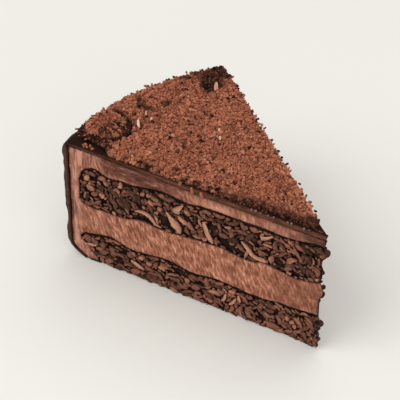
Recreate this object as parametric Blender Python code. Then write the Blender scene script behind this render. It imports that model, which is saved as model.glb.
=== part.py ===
"""A slice of two-layer chocolate mousse cake, cut from a round cake and standing on its base.

The frame has +Z up and its origin on the base, halfway between the rim and the tip.
The tip points to +X, the rim to -X, and the cut face seen from the front looks to -Y.
A place in the slice is given by its distance from the rim, measured towards the tip,
its angle about the tip's upright axis, and its height.
"""

import math
import random

import bmesh
import bpy
from mathutils import Euler, Matrix, Vector, noise
from mathutils.geometry import delaunay_2d_cdt, intersect_point_line

# Overall sizes, in metres
RADIUS = 0.115
SLICE_ANGLE = math.radians(43)
GLAZE_TOP = 0.0592
GAP = 0.0003
SAME_PLACE = 0.00001
TIP_X = RADIUS / 2

# Glaze: a skin over the top and down the rim, thinner at the rim and round the foot
GLAZE_RIM_THICKNESS = 0.0012
GLAZE_TOP_THICKNESS = 0.0028
GLAZE_THICKENS_OVER = 0.045
GLAZE_SIDE_THICKNESS = 0.0019
GLAZE_FOOT_THICKNESS = 0.0009
SHOULDER_RADIUS = 0.0036
RIPPLE_DEPTH = 0.00025
RIPPLE_LENGTH = 0.0046

# The rim's foot curves in under the cake, as (distance from the rim, height)
FOOT_START = (0.0, 0.0075)
FOOT_PULL = (0.002, 0.002)
FOOT_END = (0.0095, 0.0)
GLAZE_FOOT_SHARE = 0.78

# Each sponge's edges on the cut face, as (distance from the rim, height)
UPPER_TOP = (
    (0.0070, 0.0425), (0.0082, 0.0462), (0.0100, 0.0484), (0.0140, 0.0502), (0.0205, 0.0477),
    (0.0290, 0.0485), (0.0450, 0.0508), (0.0560, 0.0496), (0.0640, 0.0507), (0.0980, 0.0506),
    (0.1150, 0.0525),
)
UPPER_BOTTOM = (
    (0.0070, 0.0330), (0.0085, 0.0307), (0.0130, 0.0299), (0.0250, 0.0305), (0.0360, 0.0326),
    (0.0450, 0.0319), (0.0700, 0.0342), (0.0840, 0.0330), (0.0900, 0.0346), (0.1030, 0.0331),
    (0.1150, 0.0350),
)
LOWER_TOP = (
    (0.0065, 0.0122), (0.0090, 0.0142), (0.0200, 0.0164), (0.0330, 0.0144), (0.0465, 0.0159),
    (0.0600, 0.0143), (0.0700, 0.0160), (0.0850, 0.0148), (0.1010, 0.0162), (0.1150, 0.0172),
)
LOWER_BOTTOM = ((0.0065, 0.0106), (0.0095, 0.0088), (0.0125, 0.0050), (0.0165, 0.0))
UPPER_TOP_LEVEL = 0.0502
UPPER_BOTTOM_LEVEL = 0.0328
LOWER_TOP_LEVEL = 0.0152
LOWER_BOTTOM_LEVEL = 0.0
UPPER_ROWS = 8
LOWER_ROWS = 7
UPPER_SPONGE = (UPPER_TOP, UPPER_TOP_LEVEL, UPPER_BOTTOM, UPPER_BOTTOM_LEVEL, UPPER_ROWS)
LOWER_SPONGE = (LOWER_TOP, LOWER_TOP_LEVEL, LOWER_BOTTOM, LOWER_BOTTOM_LEVEL, LOWER_ROWS)

# A sponge's edges are as drawn on the near cut face, this share of it on the far one,
# and as drawn all the way round at the rim's end and at the tip
FAR_FACE_SHARE = -0.7
ROUND_END = (0.012, 0.020)
TIP_END = (0.096, 0.112)

# Divisions of the meshes
COLUMN = 0.0023
END_COLUMN = 0.0011
END_COLUMNS = 6
ANGLE_STEPS = 4
GLAZE_ANGLE_STEPS = 9
SHOULDER_STEPS = 4
THICKENING_STEPS = 8
FOOT_STEPS = 5

# Crags of the torn sponge on the cut faces and at the tip
LUMP = 0.0042
CREVICE_AT = 0.75
CRAG_DEPTH = 0.0011
EDGE_CRAG_SHARE = 0.5
CRAG_JITTER = 0.0005
TIP_CRAG = 0.0013
MOUSSE_TIP_BULGE = 0.0014
MOUSSE_TIP_WAVE = 0.0045

# Light slivers in the sponge: (from the rim, height, length, width, lean in degrees)
UPPER_FLAKES = (
    (0.0370, 0.0362, 0.0100, 0.0020, -20), (0.0500, 0.0385, 0.0112, 0.0028, -50),
    (0.0520, 0.0450, 0.0048, 0.0018, -35), (0.0650, 0.0392, 0.0108, 0.0022, -62),
    (0.0850, 0.0384, 0.0122, 0.0020, -34), (0.0950, 0.0455, 0.0050, 0.0018, 12),
)
LOWER_FLAKES = (
    (0.0098, 0.0115, 0.0036, 0.0013, -28), (0.0335, 0.0078, 0.0060, 0.0019, -25),
    (0.0700, 0.0085, 0.0042, 0.0015, 60), (0.0780, 0.0098, 0.0045, 0.0015, 75),
    (0.0990, 0.0060, 0.0030, 0.0018, 30),
)
FLAKE_THICKNESS = 0.0012
FLAKE_SEGMENTS = 6

# Blanket of crumbs on the glaze
CRUMB_BED = 0.0021
CRUMB_ROUGHNESS = 0.0016
CRUMB_EDGE_HEIGHT = 0.0011
CRUMB_SPACING = 0.0026
CRUMB_CLEARANCE = 0.0012
CRUMB_EDGE_JITTER = 0.0005
CRUMB_TIP_LIMIT = 0.109
CRUMB_RIM_INSET = 0.0012
CRUMB_FAR_INSET = 0.0004
NEAR_INSET = (
    (0.0120, 0.0046), (0.0170, 0.0040), (0.0215, 0.0006), (0.0500, 0.0004), (0.0650, 0.0010),
    (0.0750, 0.0013), (0.0840, 0.0023), (0.0960, 0.0025), (0.1100, 0.0019),
)
BARE_CORNER = math.radians(4.6)
CLUMP_PLACE = (-0.0462, -0.0240)
CLUMP_RADIUS = 0.0088
CLUMP_RISE = 0.0008
RING_WIDTH = 0.0028
HOLLOW_PLACE = (-0.0390, 0.0272)
HOLLOW_RADIUS = 0.0052
LOWEST_BED = 0.0007
LEAST_BED_UNDER_CRUMB = 0.0015
LOOSE_CRUMBS = 85
LOOSE_CRUMB_SIZE = (0.0009, 0.0015)
LOOSE_CRUMB_SPACING = 0.0050
LATTICE_JITTER = 0.2
TOP_FLAKES = (
    (-0.0394, -0.0119, 0.0022, 0.0042, 0.0014, -45), (-0.0397, 0.0301, 0.0010, 0.0062, 0.0022, -47),
)

# Colours, roughness
CHOCOLATE_MOUSSE = ((0.310, 0.122, 0.075, 1.0), 0.75)
DARK_SPONGE = ((0.097, 0.042, 0.027, 1.0), 0.90)
DARK_GLAZE = ((0.022, 0.011, 0.009, 1.0), 0.35)
COCOA_CRUMBS = ((0.240, 0.080, 0.047, 1.0), 0.95)


def clear_scene():
    """Removes what the scene holds."""
    for thing in list(bpy.data.objects):
        bpy.data.objects.remove(thing, do_unlink=True)


def material(name, finish):
    """A plain Principled material of that colour and roughness."""
    colour, roughness = finish
    made = bpy.data.materials.new(name)
    made.use_nodes = True
    shader = made.node_tree.nodes["Principled BSDF"]
    shader.inputs["Base Color"].default_value = colour
    shader.inputs["Roughness"].default_value = roughness
    shader.inputs["Metallic"].default_value = 0.0
    made.diffuse_color = colour
    return made


def add_object(name, bm, finish):
    """The object of that name for a finished mesh, with its faces turned outwards."""
    bmesh.ops.recalc_face_normals(bm, faces=bm.faces[:])
    mesh = bpy.data.meshes.new(name)
    bm.to_mesh(mesh)
    bm.free()
    mesh.materials.append(finish)
    shown = bpy.data.objects.new(name, mesh)
    bpy.context.scene.collection.objects.link(shown)
    return shown


def ease(start, end, along):
    """Rises smoothly from 0 before start to 1 beyond end."""
    share = min(1.0, max(0.0, (along - start) / (end - start)))
    return share * share * (3 - 2 * share)


def on_line(stations, along):
    """Height of a smooth line through its stations, level beyond both ends."""
    if along <= stations[0][0]:
        return stations[0][1]
    for before, after in zip(stations, stations[1:]):
        if along <= after[0]:
            return before[1] + (after[1] - before[1]) * ease(before[0], after[0], along)
    return stations[-1][1]


def edge_height(stations, level, along, share):
    """Height of a sponge's edge where the cake shows that share of the drawn line's waves."""
    drawn = on_line(stations, along)
    whole = max(1 - ease(*ROUND_END, along), ease(*TIP_END, along))
    return level + (drawn - level) * (share + (1 - share) * whole)


def place(along, height, angle):
    """The point at that distance from the rim, angle about the tip's axis and height."""
    reach = RADIUS - along
    return Vector((TIP_X - reach * math.cos(angle), reach * math.sin(angle), height))


def columns(start):
    """Distances from the rim of a layer's columns, closer together at its rounded end."""
    end_zone = [start + END_COLUMN * i for i in range(END_COLUMNS)]
    first = end_zone[-1]
    count = round((RADIUS - first) / COLUMN)
    return end_zone + [first + (RADIUS - first) * i / count for i in range(1, count + 1)]


def turns(steps):
    """Angle and share of the drawn waves of each cross-section, from the near cut to the far one."""
    for k in range(steps + 1):
        yield SLICE_ANGLE * (k / steps - 0.5), 1 + (FAR_FACE_SHARE - 1) * k / steps


def sweep(section, steps):
    """Turns a closed outline about the tip's axis and returns the open mesh and its rings."""
    bm = bmesh.new()
    rings = []
    for angle, share in turns(steps):
        rings.append([bm.verts.new(place(s, z, angle)) for s, z in section(share)])
    for first, second in zip(rings, rings[1:]):
        for i in range(len(first)):
            bm.faces.new((first[i - 1], first[i], second[i], second[i - 1]))
    return bm, rings


def join_tip(bm):
    """Makes one point of those that meet on the tip's axis."""
    bmesh.ops.remove_doubles(bm, verts=bm.verts[:], dist=SAME_PLACE / 10)
    loose = [edge for edge in bm.edges if not edge.link_faces]
    bmesh.ops.delete(bm, geom=loose, context="EDGES")


def close_flat(bm, rings):
    """Closes both cut faces with one flat face each."""
    bm.faces.new(rings[0])
    bm.faces.new(list(reversed(rings[-1])))
    join_tip(bm)


def foot_point(share):
    """A point of the rim's foot and the direction into the cake there."""
    rest = 1 - share
    point = Vector(
        rest * rest * FOOT_START[i] + 2 * rest * share * FOOT_PULL[i] + share * share * FOOT_END[i]
        for i in (0, 1)
    )
    slope = Vector(
        rest * (FOOT_PULL[i] - FOOT_START[i]) + share * (FOOT_END[i] - FOOT_PULL[i]) for i in (0, 1)
    ).normalized()
    return point, Vector((-slope.y, slope.x))


def foot_line(depth_at):
    """The rim's foot from its top down to where the glaze ends, moved into the cake."""
    line = []
    for i in range(FOOT_STEPS + 1):
        share = GLAZE_FOOT_SHARE * i / FOOT_STEPS
        point, inward = foot_point(share)
        line.append(tuple(point + inward * depth_at(i / FOOT_STEPS)))
    return line


def side_thickness(share):
    """Thickness of the glaze, from the top of the foot (0) to its lower end (1)."""
    return GLAZE_SIDE_THICKNESS + (GLAZE_FOOT_THICKNESS - GLAZE_SIDE_THICKNESS) * share


def glaze_underside(along):
    """Height of the glaze's underside."""
    thicker = GLAZE_TOP_THICKNESS - GLAZE_RIM_THICKNESS
    return GLAZE_TOP - GLAZE_RIM_THICKNESS - thicker * ease(0, GLAZE_THICKENS_OVER, along)


def top_columns(start):
    """Distances from the rim for the top of the cake, close together where the glaze thickens."""
    step = (GLAZE_THICKENS_OVER - start) / THICKENING_STEPS
    near = [start + step * i for i in range(THICKENING_STEPS + 1)]
    return near + [(GLAZE_THICKENS_OVER + RADIUS) / 2, RADIUS]


def glaze_section(_share):
    """Outline of the glaze: up the outside, over the top, back underneath and down the inside."""
    outside = list(reversed(foot_line(lambda share: 0.0)))
    shoulder = []
    for i in range(SHOULDER_STEPS + 1):
        turn = math.radians(90) * i / SHOULDER_STEPS
        shoulder.append((
            SHOULDER_RADIUS * (1 - math.cos(turn)),
            GLAZE_TOP - SHOULDER_RADIUS * (1 - math.sin(turn)),
        ))
    top = [(s, GLAZE_TOP) for s in top_columns(SHOULDER_RADIUS)[1:]]
    under = [(s, glaze_underside(s)) for s in reversed(top_columns(GLAZE_SIDE_THICKNESS))]
    inside = foot_line(side_thickness)
    return outside + shoulder + top + under + inside


def make_glaze(finish):
    """Dark glaze over the top and down the rim, with the faint ripples a palette knife leaves."""
    bm, rings = sweep(glaze_section, GLAZE_ANGLE_STEPS)
    close_flat(bm, rings)
    axis = Vector((TIP_X, 0))
    for vert in bm.verts:
        reach = (vert.co.xy - axis).length
        if reach > RADIUS - SAME_PLACE:
            ripple = RIPPLE_DEPTH * (math.sin(vert.co.z / RIPPLE_LENGTH) - 1)
            vert.co.xy = axis + (vert.co.xy - axis) * (1 + ripple / reach)
    glaze = add_object("glaze", bm, finish)
    glaze.data.shade_smooth()
    glaze.data.set_sharp_from_angle(angle=math.radians(35))
    return glaze


def sponge_outline(layer, share):
    """A sponge's outline: from the tip back along its top, down its end and out along its foot."""
    top, top_level, bottom, bottom_level, rows = layer
    stations = columns(top[0][0])
    over = [(s, edge_height(top, top_level, s, share)) for s in reversed(stations)]
    under = [(s, edge_height(bottom, bottom_level, s, share)) for s in stations]
    end = [(stations[0], over[-1][1] + (under[0][1] - over[-1][1]) * j / rows) for j in range(1, rows)]
    return over + end + under


def around(outline):
    """The outline moved out by the gap between neighbouring layers."""
    moved = []
    for i, point in enumerate(outline):
        before = Vector(outline[max(i - 1, 0)])
        after = Vector(outline[min(i + 1, len(outline) - 1)])
        direction = (after - before).normalized()
        out = Vector((direction.y, -direction.x)) * GAP
        at_tip = i in (0, len(outline) - 1)
        moved.append((point[0] + (0 if at_tip else out.x), point[1] + out.y))
    return moved


def mousse_section(share):
    """Outline of the mousse: a wall at the rim with one arm over and one under the upper sponge."""
    foot = foot_line(lambda down: side_thickness(down) + GAP)
    outside = [(FOOT_END[0] + GLAZE_FOOT_THICKNESS, 0.0), *reversed(foot)]
    top = [(s, glaze_underside(s) - GAP) for s in top_columns(GLAZE_SIDE_THICKNESS + GAP)]
    upper = around(sponge_outline(UPPER_SPONGE, share))
    lower = [(s, z) for s, z in around(sponge_outline(LOWER_SPONGE, share)) if z > 0]
    lower.append((LOWER_BOTTOM[-1][0] - 3 * GAP, 0.0))
    return outside + top + upper + lower


def make_mousse(finish):
    """Pale mousse round both sponges. Its tip is pushed out of line here and there."""
    bm, rings = sweep(mousse_section, ANGLE_STEPS)
    close_flat(bm, rings)
    for vert in bm.verts:
        if abs(vert.co.x - TIP_X) < SAME_PLACE:
            vert.co.x -= MOUSSE_TIP_BULGE * (1 + math.sin(vert.co.z / MOUSSE_TIP_WAVE)) / 2
    return add_object("mousse", bm, finish)


def crag(point):
    """From -1 in a crevice to 1 on the middle of a lump."""
    nearest = noise.voronoi(point / LUMP)[0][0]
    return 1 - 2 * min(1.0, nearest / CREVICE_AT)


def rough_face(bm, ring, rows, normal, rng, flip):
    """Fills a cut face of a sponge with a grid between its lower and upper edge."""
    count = (len(ring) - rows + 1) // 2
    upper = list(reversed(ring[:count]))
    end = list(reversed(ring[count : count + rows - 1]))
    lower = ring[count + rows - 1 :]
    grid = [[lower[0], *end, upper[0]]]
    for below, above in zip(lower[1:], upper[1:]):
        inner = []
        for j in range(1, rows):
            spot = below.co.lerp(above.co, j / rows)
            reach = min(CRAG_JITTER, (above.co.z - below.co.z) / rows / 4)
            spot += Vector((-normal.y, normal.x, 0)) * rng.uniform(-reach, reach)
            spot.z += rng.uniform(-reach, reach)
            inner.append(bm.verts.new(spot))
        grid.append([below, *inner, above])
    for left, right in zip(grid, grid[1:]):
        for j in range(rows):
            corners = (left[j], right[j], right[j + 1], left[j + 1])
            bm.faces.new(tuple(reversed(corners)) if flip else corners)
    return grid


def tear(grid, normal):
    """Moves a cut face's points in and out of the cut, less at the sponge's edges."""
    last = len(grid[0]) - 1
    for column in grid[:-1]:
        for j, vert in enumerate(column):
            share = EDGE_CRAG_SHARE if j in (0, last) else 1.0
            vert.co += normal * CRAG_DEPTH * share * crag(vert.co)


def make_sponge(layer, seed):
    """One sponge layer through the whole slice, with torn cut faces and a crumbling tip."""
    rng = random.Random(seed)
    rows = layer[-1]
    bm, rings = sweep(lambda share: sponge_outline(layer, share), ANGLE_STEPS)
    near = Vector((math.sin(SLICE_ANGLE / 2), -math.cos(SLICE_ANGLE / 2), 0))
    far = Vector((near.x, -near.y, 0))
    near_grid = rough_face(bm, rings[0], rows, near, rng, False)
    far_grid = rough_face(bm, rings[-1], rows, far, rng, True)
    for near_vert, far_vert in zip(near_grid[-1][1:-1], far_grid[-1][1:-1]):
        near_vert.co.xy = (TIP_X, 0)
        far_vert.co = near_vert.co
    tear(near_grid, near)
    tear(far_grid, far)
    join_tip(bm)
    for vert in bm.verts:
        if math.hypot(vert.co.x - TIP_X, vert.co.y) < SAME_PLACE:
            vert.co.x += TIP_CRAG * (crag(vert.co) - 0.5)
    return bm


def sliver(length, width, thickness, rng):
    """A thin curled sliver, lying along X with its broad side up, as a mesh."""
    bm = bmesh.new()
    rings = []
    curl = rng.uniform(0.08, 0.16) * length
    for i in range(FLAKE_SEGMENTS + 1):
        along = i / FLAKE_SEGMENTS
        half = width / 2 * (0.35 + 0.65 * math.sin(math.pi * along)) * rng.uniform(0.8, 1.1)
        middle = Vector(((along - 0.5) * length, curl * math.sin(math.pi * 2 * along), 0))
        deep = thickness / 2
        corners = ((-half, -deep), (half, -deep), (half, deep), (-half, deep))
        rings.append([bm.verts.new(middle + Vector((0, y, z))) for y, z in corners])
    for first, second in zip(rings, rings[1:]):
        for i in range(4):
            bm.faces.new((first[i - 1], first[i], second[i], second[i - 1]))
    bm.faces.new(rings[0])
    bm.faces.new(list(reversed(rings[-1])))
    bmesh.ops.recalc_face_normals(bm, faces=bm.faces[:])
    return bm


def pebble(size, rng):
    """A rough crumb with few sides."""
    bm = bmesh.new()
    bmesh.ops.create_icosphere(bm, subdivisions=1, radius=size)
    stretch = Vector((rng.uniform(0.8, 1.3), rng.uniform(0.7, 1.0), rng.uniform(0.7, 1.0)))
    for vert in bm.verts:
        vert.co = vert.co * stretch * rng.uniform(0.85, 1.15)
    return bm


def fuse(base, pieces):
    """Joins the small pieces to the base with one Boolean union, and removes them."""
    group = bpy.data.collections.new(base.name + "_pieces")
    bpy.context.scene.collection.children.link(group)
    for number, bm in enumerate(pieces):
        mesh = bpy.data.meshes.new(f"{base.name}_piece_{number}")
        bm.to_mesh(mesh)
        bm.free()
        group.objects.link(bpy.data.objects.new(mesh.name, mesh))
    union = base.modifiers.new("Union", "BOOLEAN")
    union.operation = "UNION"
    union.operand_type = "COLLECTION"
    union.collection = group
    union.solver = "MANIFOLD"
    bpy.context.view_layer.update()
    graph = bpy.context.evaluated_depsgraph_get()
    joined = bpy.data.meshes.new_from_object(base.evaluated_get(graph))
    base.modifiers.clear()
    base.data = joined
    for piece in list(group.objects):
        bpy.data.objects.remove(piece, do_unlink=True)
    bpy.data.collections.remove(group)
    return base


def flakes_on_cut(flakes, rng):
    """Slivers set half their thickness deep in the near cut face."""
    towards_tip = Vector((math.cos(SLICE_ANGLE / 2), math.sin(SLICE_ANGLE / 2), 0))
    out = Vector((math.sin(SLICE_ANGLE / 2), -math.cos(SLICE_ANGLE / 2), 0))
    turn = Matrix((towards_tip, Vector((0, 0, 1)), out)).transposed().to_4x4()
    for along, height, length, width, lean in flakes:
        bm = sliver(length, width, FLAKE_THICKNESS, rng)
        spin = Matrix.Rotation(math.radians(lean), 4, "Z")
        spot = Matrix.Translation(place(along, height, -SLICE_ANGLE / 2))
        bm.transform(spot @ turn @ spin)
        yield bm


def make_upper_sponge(finish):
    """The thick sponge between the two arms of mousse."""
    base = add_object("sponge_upper", make_sponge(UPPER_SPONGE, 11), finish)
    return fuse(base, flakes_on_cut(UPPER_FLAKES, random.Random(12)))


def make_lower_sponge(finish):
    """The sponge that the slice stands on."""
    base = add_object("sponge_lower", make_sponge(LOWER_SPONGE, 21), finish)
    return fuse(base, flakes_on_cut(LOWER_FLAKES, random.Random(22)))


def inset_point(along, inset, side):
    """A plan point that far from the rim and that far inside the near (-1) or far (1) cut face."""
    angle = side * SLICE_ANGLE / 2
    spot = place(along, 0, angle).to_2d()
    inward = Vector((-math.sin(SLICE_ANGLE / 2), -side * math.cos(SLICE_ANGLE / 2)))
    return spot + inward * inset


def blanket_outline(rng):
    """The uneven edge of the crumbs, seen from above: near edge, rim, then far edge."""
    def uneven(point):
        return point + Vector((rng.uniform(-1, 1), rng.uniform(-1, 1))) * CRUMB_EDGE_JITTER

    start = NEAR_INSET[0][0]
    steps = round((CRUMB_TIP_LIMIT - start) / CRUMB_SPACING)
    outline = []
    for i in range(steps + 1):
        along = CRUMB_TIP_LIMIT + (start - CRUMB_TIP_LIMIT) * i / steps
        outline.append(uneven(inset_point(along, on_line(NEAR_INSET, along), -1)))
    first, last = -SLICE_ANGLE / 2 + BARE_CORNER, SLICE_ANGLE / 2 - CRUMB_FAR_INSET / RADIUS
    arc_steps = round(RADIUS * (last - first) / CRUMB_SPACING)
    for i in range(arc_steps + 1):
        angle = first + (last - first) * i / arc_steps
        outline.append(uneven(place(CRUMB_RIM_INSET, 0, angle).to_2d()))
    for i in range(1, steps + 1):
        along = CRUMB_RIM_INSET + (CRUMB_TIP_LIMIT - CRUMB_RIM_INSET) * i / (steps + 1)
        outline.append(uneven(inset_point(along, CRUMB_FAR_INSET, 1)))
    return outline


def distance_to(outline, point):
    """Distance from a plan point to the outline."""
    nearest = RADIUS
    for a, b in zip(outline, outline[1:] + outline[:1]):
        foot, share = intersect_point_line(point, a, b)
        foot = a if share < 0 else b if share > 1 else foot
        nearest = min(nearest, (foot.to_2d() - point).length)
    return nearest


def inside(outline, point):
    """Whether a plan point lies inside the outline."""
    within = False
    for a, b in zip(outline, outline[1:] + outline[:1]):
        if (a.y > point.y) != (b.y > point.y):
            if point.x < a.x + (point.y - a.y) / (b.y - a.y) * (b.x - a.x):
                within = not within
    return within


def bed_height(point, rng):
    """Height of the crumbs above the glaze: a clump by the rim, a groove round it and a hollow."""
    height = CRUMB_BED + rng.uniform(-0.5, 0.5) * CRUMB_ROUGHNESS
    from_clump = (point - Vector(CLUMP_PLACE)).length - CLUMP_RADIUS
    if from_clump < 0:
        height += CLUMP_RISE * min(1.0, -from_clump / (CLUMP_RADIUS / 2))
    elif from_clump < RING_WIDTH:
        height = LOWEST_BED + rng.uniform(0, 0.3) * CRUMB_ROUGHNESS
    from_hollow = (point - Vector(HOLLOW_PLACE)).length / HOLLOW_RADIUS
    if from_hollow < 1:
        height = max(LOWEST_BED, height * from_hollow)
    return height


def lattice(outline, spacing, clearance, rng):
    """Plan points spread evenly over the blanket, each moved a little."""
    points = []
    row_height = spacing * math.sqrt(3) / 2
    rows = int(RADIUS / row_height)
    for j in range(-rows // 2, rows // 2 + 1):
        for i in range(int(RADIUS / spacing) + 2):
            x = -TIP_X + (i + 0.5 * (j % 2)) * spacing
            jitter = Vector((rng.uniform(-1, 1), rng.uniform(-1, 1))) * LATTICE_JITTER * spacing
            point = Vector((x, j * row_height)) + jitter
            if inside(outline, point) and distance_to(outline, point) > clearance:
                points.append(point)
    return points


def make_blanket(outline, rng):
    """The crumbs' bed as one closed mesh with a flat underside."""
    inner = lattice(outline, CRUMB_SPACING, CRUMB_CLEARANCE, rng)
    border = list(range(len(outline)))
    flat, _, faces, _, _, _ = delaunay_2d_cdt(outline + inner, [], [border], 1, SAME_PLACE / 10)
    bottom = GLAZE_TOP + GAP
    bm = bmesh.new()
    top = []
    for number, point in enumerate(flat):
        rim = number < len(outline)
        height = CRUMB_EDGE_HEIGHT * rng.uniform(0.7, 1.3) if rim else bed_height(point, rng)
        top.append(bm.verts.new((point.x, point.y, bottom + height)))
    for face in faces:
        bm.faces.new([top[i] for i in face])
    edge = top[: len(outline)]
    below = [bm.verts.new((p.x, p.y, bottom)) for p in outline]
    for i in range(len(outline)):
        bm.faces.new((edge[i - 1], edge[i], below[i], below[i - 1]))
    bm.faces.new(below)
    return bm


def loose_pieces(outline, rng):
    """Crumbs and two pale slivers that stand out of the bed, as separate meshes."""
    places = lattice(outline, LOOSE_CRUMB_SPACING, LOOSE_CRUMB_SIZE[0], rng)
    raised = [point for point in places if bed_height(point, rng) > LEAST_BED_UNDER_CRUMB]
    rng.shuffle(raised)
    for point in raised[:LOOSE_CRUMBS]:
        size = rng.uniform(*LOOSE_CRUMB_SIZE)
        height = GLAZE_TOP + GAP + CRUMB_BED
        bm = pebble(size, rng)
        turn = Euler([rng.uniform(0, math.pi) for _ in range(3)]).to_matrix().to_4x4()
        bm.transform(Matrix.Translation((point.x, point.y, height)) @ turn)
        yield bm
    for x, y, height, length, width, lean in TOP_FLAKES:
        bm = sliver(length, width, FLAKE_THICKNESS, rng)
        spin = Matrix.Rotation(math.radians(lean), 4, "Z")
        bm.transform(Matrix.Translation((x, y, GLAZE_TOP + GAP + height)) @ spin)
        yield bm


def make_crumbs(finish):
    """The blanket of crumbs, with the largest ones fused on."""
    rng = random.Random(31)
    outline = blanket_outline(rng)
    base = add_object("crumb_topping", make_blanket(outline, rng), finish)
    return fuse(base, loose_pieces(outline, rng))


def main():
    """Builds the slice, with its pieces under one empty."""
    clear_scene()
    cake = bpy.data.objects.new("cake_slice", None)
    bpy.context.scene.collection.objects.link(cake)
    sponge = material("dark_sponge", DARK_SPONGE)
    parts = (
        make_lower_sponge(sponge),
        make_upper_sponge(sponge),
        make_mousse(material("chocolate_mousse", CHOCOLATE_MOUSSE)),
        make_glaze(material("dark_glaze", DARK_GLAZE)),
        make_crumbs(material("cocoa_crumbs", COCOA_CRUMBS)),
    )
    for part in parts:
        part.parent = cake


main()
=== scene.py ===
"""The looks of a slice of chocolate mousse cake, built round its solids.

The frame is the solids' own: metres, +Z up, the tip towards +X and the near cut face
towards -Y. A place inside the slice is given by its distance s from the rim towards the tip,
its height z and its angle about the tip's axis. A place on a cut face is (s, z, out), where
out points out of the cake.
"""

import math

import bmesh
import bpy
import numpy as np
from bpy.props import FloatProperty, FloatVectorProperty, IntProperty, PointerProperty
from mathutils import Matrix, Vector, noise
from mathutils.geometry import delaunay_2d_cdt


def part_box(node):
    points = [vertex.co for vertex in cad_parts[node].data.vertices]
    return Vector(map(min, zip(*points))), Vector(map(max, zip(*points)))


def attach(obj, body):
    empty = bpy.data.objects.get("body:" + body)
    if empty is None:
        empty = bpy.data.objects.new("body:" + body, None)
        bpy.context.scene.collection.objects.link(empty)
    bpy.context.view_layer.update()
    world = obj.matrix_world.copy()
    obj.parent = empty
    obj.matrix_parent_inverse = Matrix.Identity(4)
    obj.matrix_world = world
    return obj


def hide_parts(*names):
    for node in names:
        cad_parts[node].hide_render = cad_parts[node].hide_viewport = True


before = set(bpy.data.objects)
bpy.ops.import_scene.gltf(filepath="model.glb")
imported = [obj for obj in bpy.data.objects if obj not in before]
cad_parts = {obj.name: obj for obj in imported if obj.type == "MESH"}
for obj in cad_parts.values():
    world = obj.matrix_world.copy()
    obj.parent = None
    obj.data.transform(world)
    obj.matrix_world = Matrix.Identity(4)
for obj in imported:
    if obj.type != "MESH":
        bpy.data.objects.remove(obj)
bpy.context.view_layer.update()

bl_info = {
    "name": "Chocolate cake slice",
    "version": (1, 0, 0),
    "blender": (4, 5, 0),
    "location": "3D View > Sidebar > Cake",
    "description": "Builds the sponge, mousse, glaze and crumbs of a slice of chocolate cake",
    "category": "Add Mesh",
}

BODY = "root"
MM = 0.001
UP = np.array((0.0, 0.0, 1.0))

# Overall sizes of the slice
TIP_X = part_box("glaze")[1].x
RADIUS = 2 * TIP_X
GLAZE_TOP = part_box("glaze")[1].z
HALF_ANGLE = math.radians(21.5)
GAP = 0.3 * MM

# Each sponge's edges on the near cut face, as (distance from the rim, height) in metres
UPPER_TOP = (
    (0.0070, 0.0425), (0.0082, 0.0462), (0.0100, 0.0484), (0.0140, 0.0502), (0.0205, 0.0477),
    (0.0290, 0.0485), (0.0450, 0.0508), (0.0560, 0.0496), (0.0640, 0.0507), (0.0980, 0.0506),
    (0.1150, 0.0525),
)
UPPER_BOTTOM = (
    (0.0070, 0.0330), (0.0085, 0.0307), (0.0130, 0.0299), (0.0250, 0.0305), (0.0360, 0.0326),
    (0.0450, 0.0319), (0.0700, 0.0342), (0.0840, 0.0330), (0.0900, 0.0346), (0.1030, 0.0331),
    (0.1150, 0.0350),
)
LOWER_TOP = (
    (0.0065, 0.0122), (0.0090, 0.0142), (0.0200, 0.0164), (0.0330, 0.0144), (0.0465, 0.0159),
    (0.0600, 0.0143), (0.0700, 0.0160), (0.0850, 0.0148), (0.1010, 0.0162), (0.1150, 0.0172),
)
LOWER_BOTTOM = ((0.0065, 0.0106), (0.0095, 0.0088), (0.0125, 0.0050), (0.0165, 0.0))

# Mean heights of each sponge's top and bottom, the share of its edges' waves on the far face, and
# the stretches by the rim and by the tip over which that face takes on the near one's waves
UPPER_LEVELS = (0.0502, 0.0328)
LOWER_LEVELS = (0.0152, 0.0)
FAR_FACE_SHARE = -0.7
ROUND_END = (0.012, 0.020)
TIP_END = (0.096, 0.112)

# The rim's foot and the glaze over it
FOOT_START = (0.0, 0.0075)
FOOT_PULL = (0.002, 0.002)
FOOT_END = (0.0095, 0.0)
GLAZE_FOOT_SHARE = 0.94
GLAZE_SIDE_THICKNESS = 1.9 * MM
GLAZE_FOOT_THICKNESS = 0.9 * MM
GLAZE_RIM_THICKNESS = 1.2 * MM
GLAZE_TOP_THICKNESS = 2.8 * MM
GLAZE_THICKENS_OVER = (0.018, 0.060)
SHOULDER_RADIUS = 3.6 * MM
RIPPLE_DEPTH = 0.25 * MM
RIPPLE_LENGTH = 4.6 * MM

# Slant of the knife's marks on the mousse, in degrees from the direction of the tip
KNIFE_SLANT = -65

# The tip's torn edge seen from the near side, as (height, distance from the rim) in mm
TIP_EDGE = (
    (0, 114.5), (4.2, 116.4), (9.2, 115.4), (15, 116.5), (18.9, 114.1), (24.9, 113.4), (28.6, 115.9),
    (32.4, 116.4), (35.2, 114), (39.4, 114.6), (45.5, 113.7), (50.2, 116), (55.2, 114.0), (58.4, 115.4),
)

# Nubs behind the torn tip, as (height, radius) in mm, and the number of small ones round them
TIP_NUBS = (
    (54.8, 0.9), (50.0, 1.5), (47.6, 1.0), (39.2, 0.9), (32.8, 1.2), (28.2, 1.3), (24.6, 0.9),
    (13.4, 1.6), (10.0, 1.2), (4.4, 1.3), (1.6, 1.0),
)
SMALL_NUBS = 30

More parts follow.
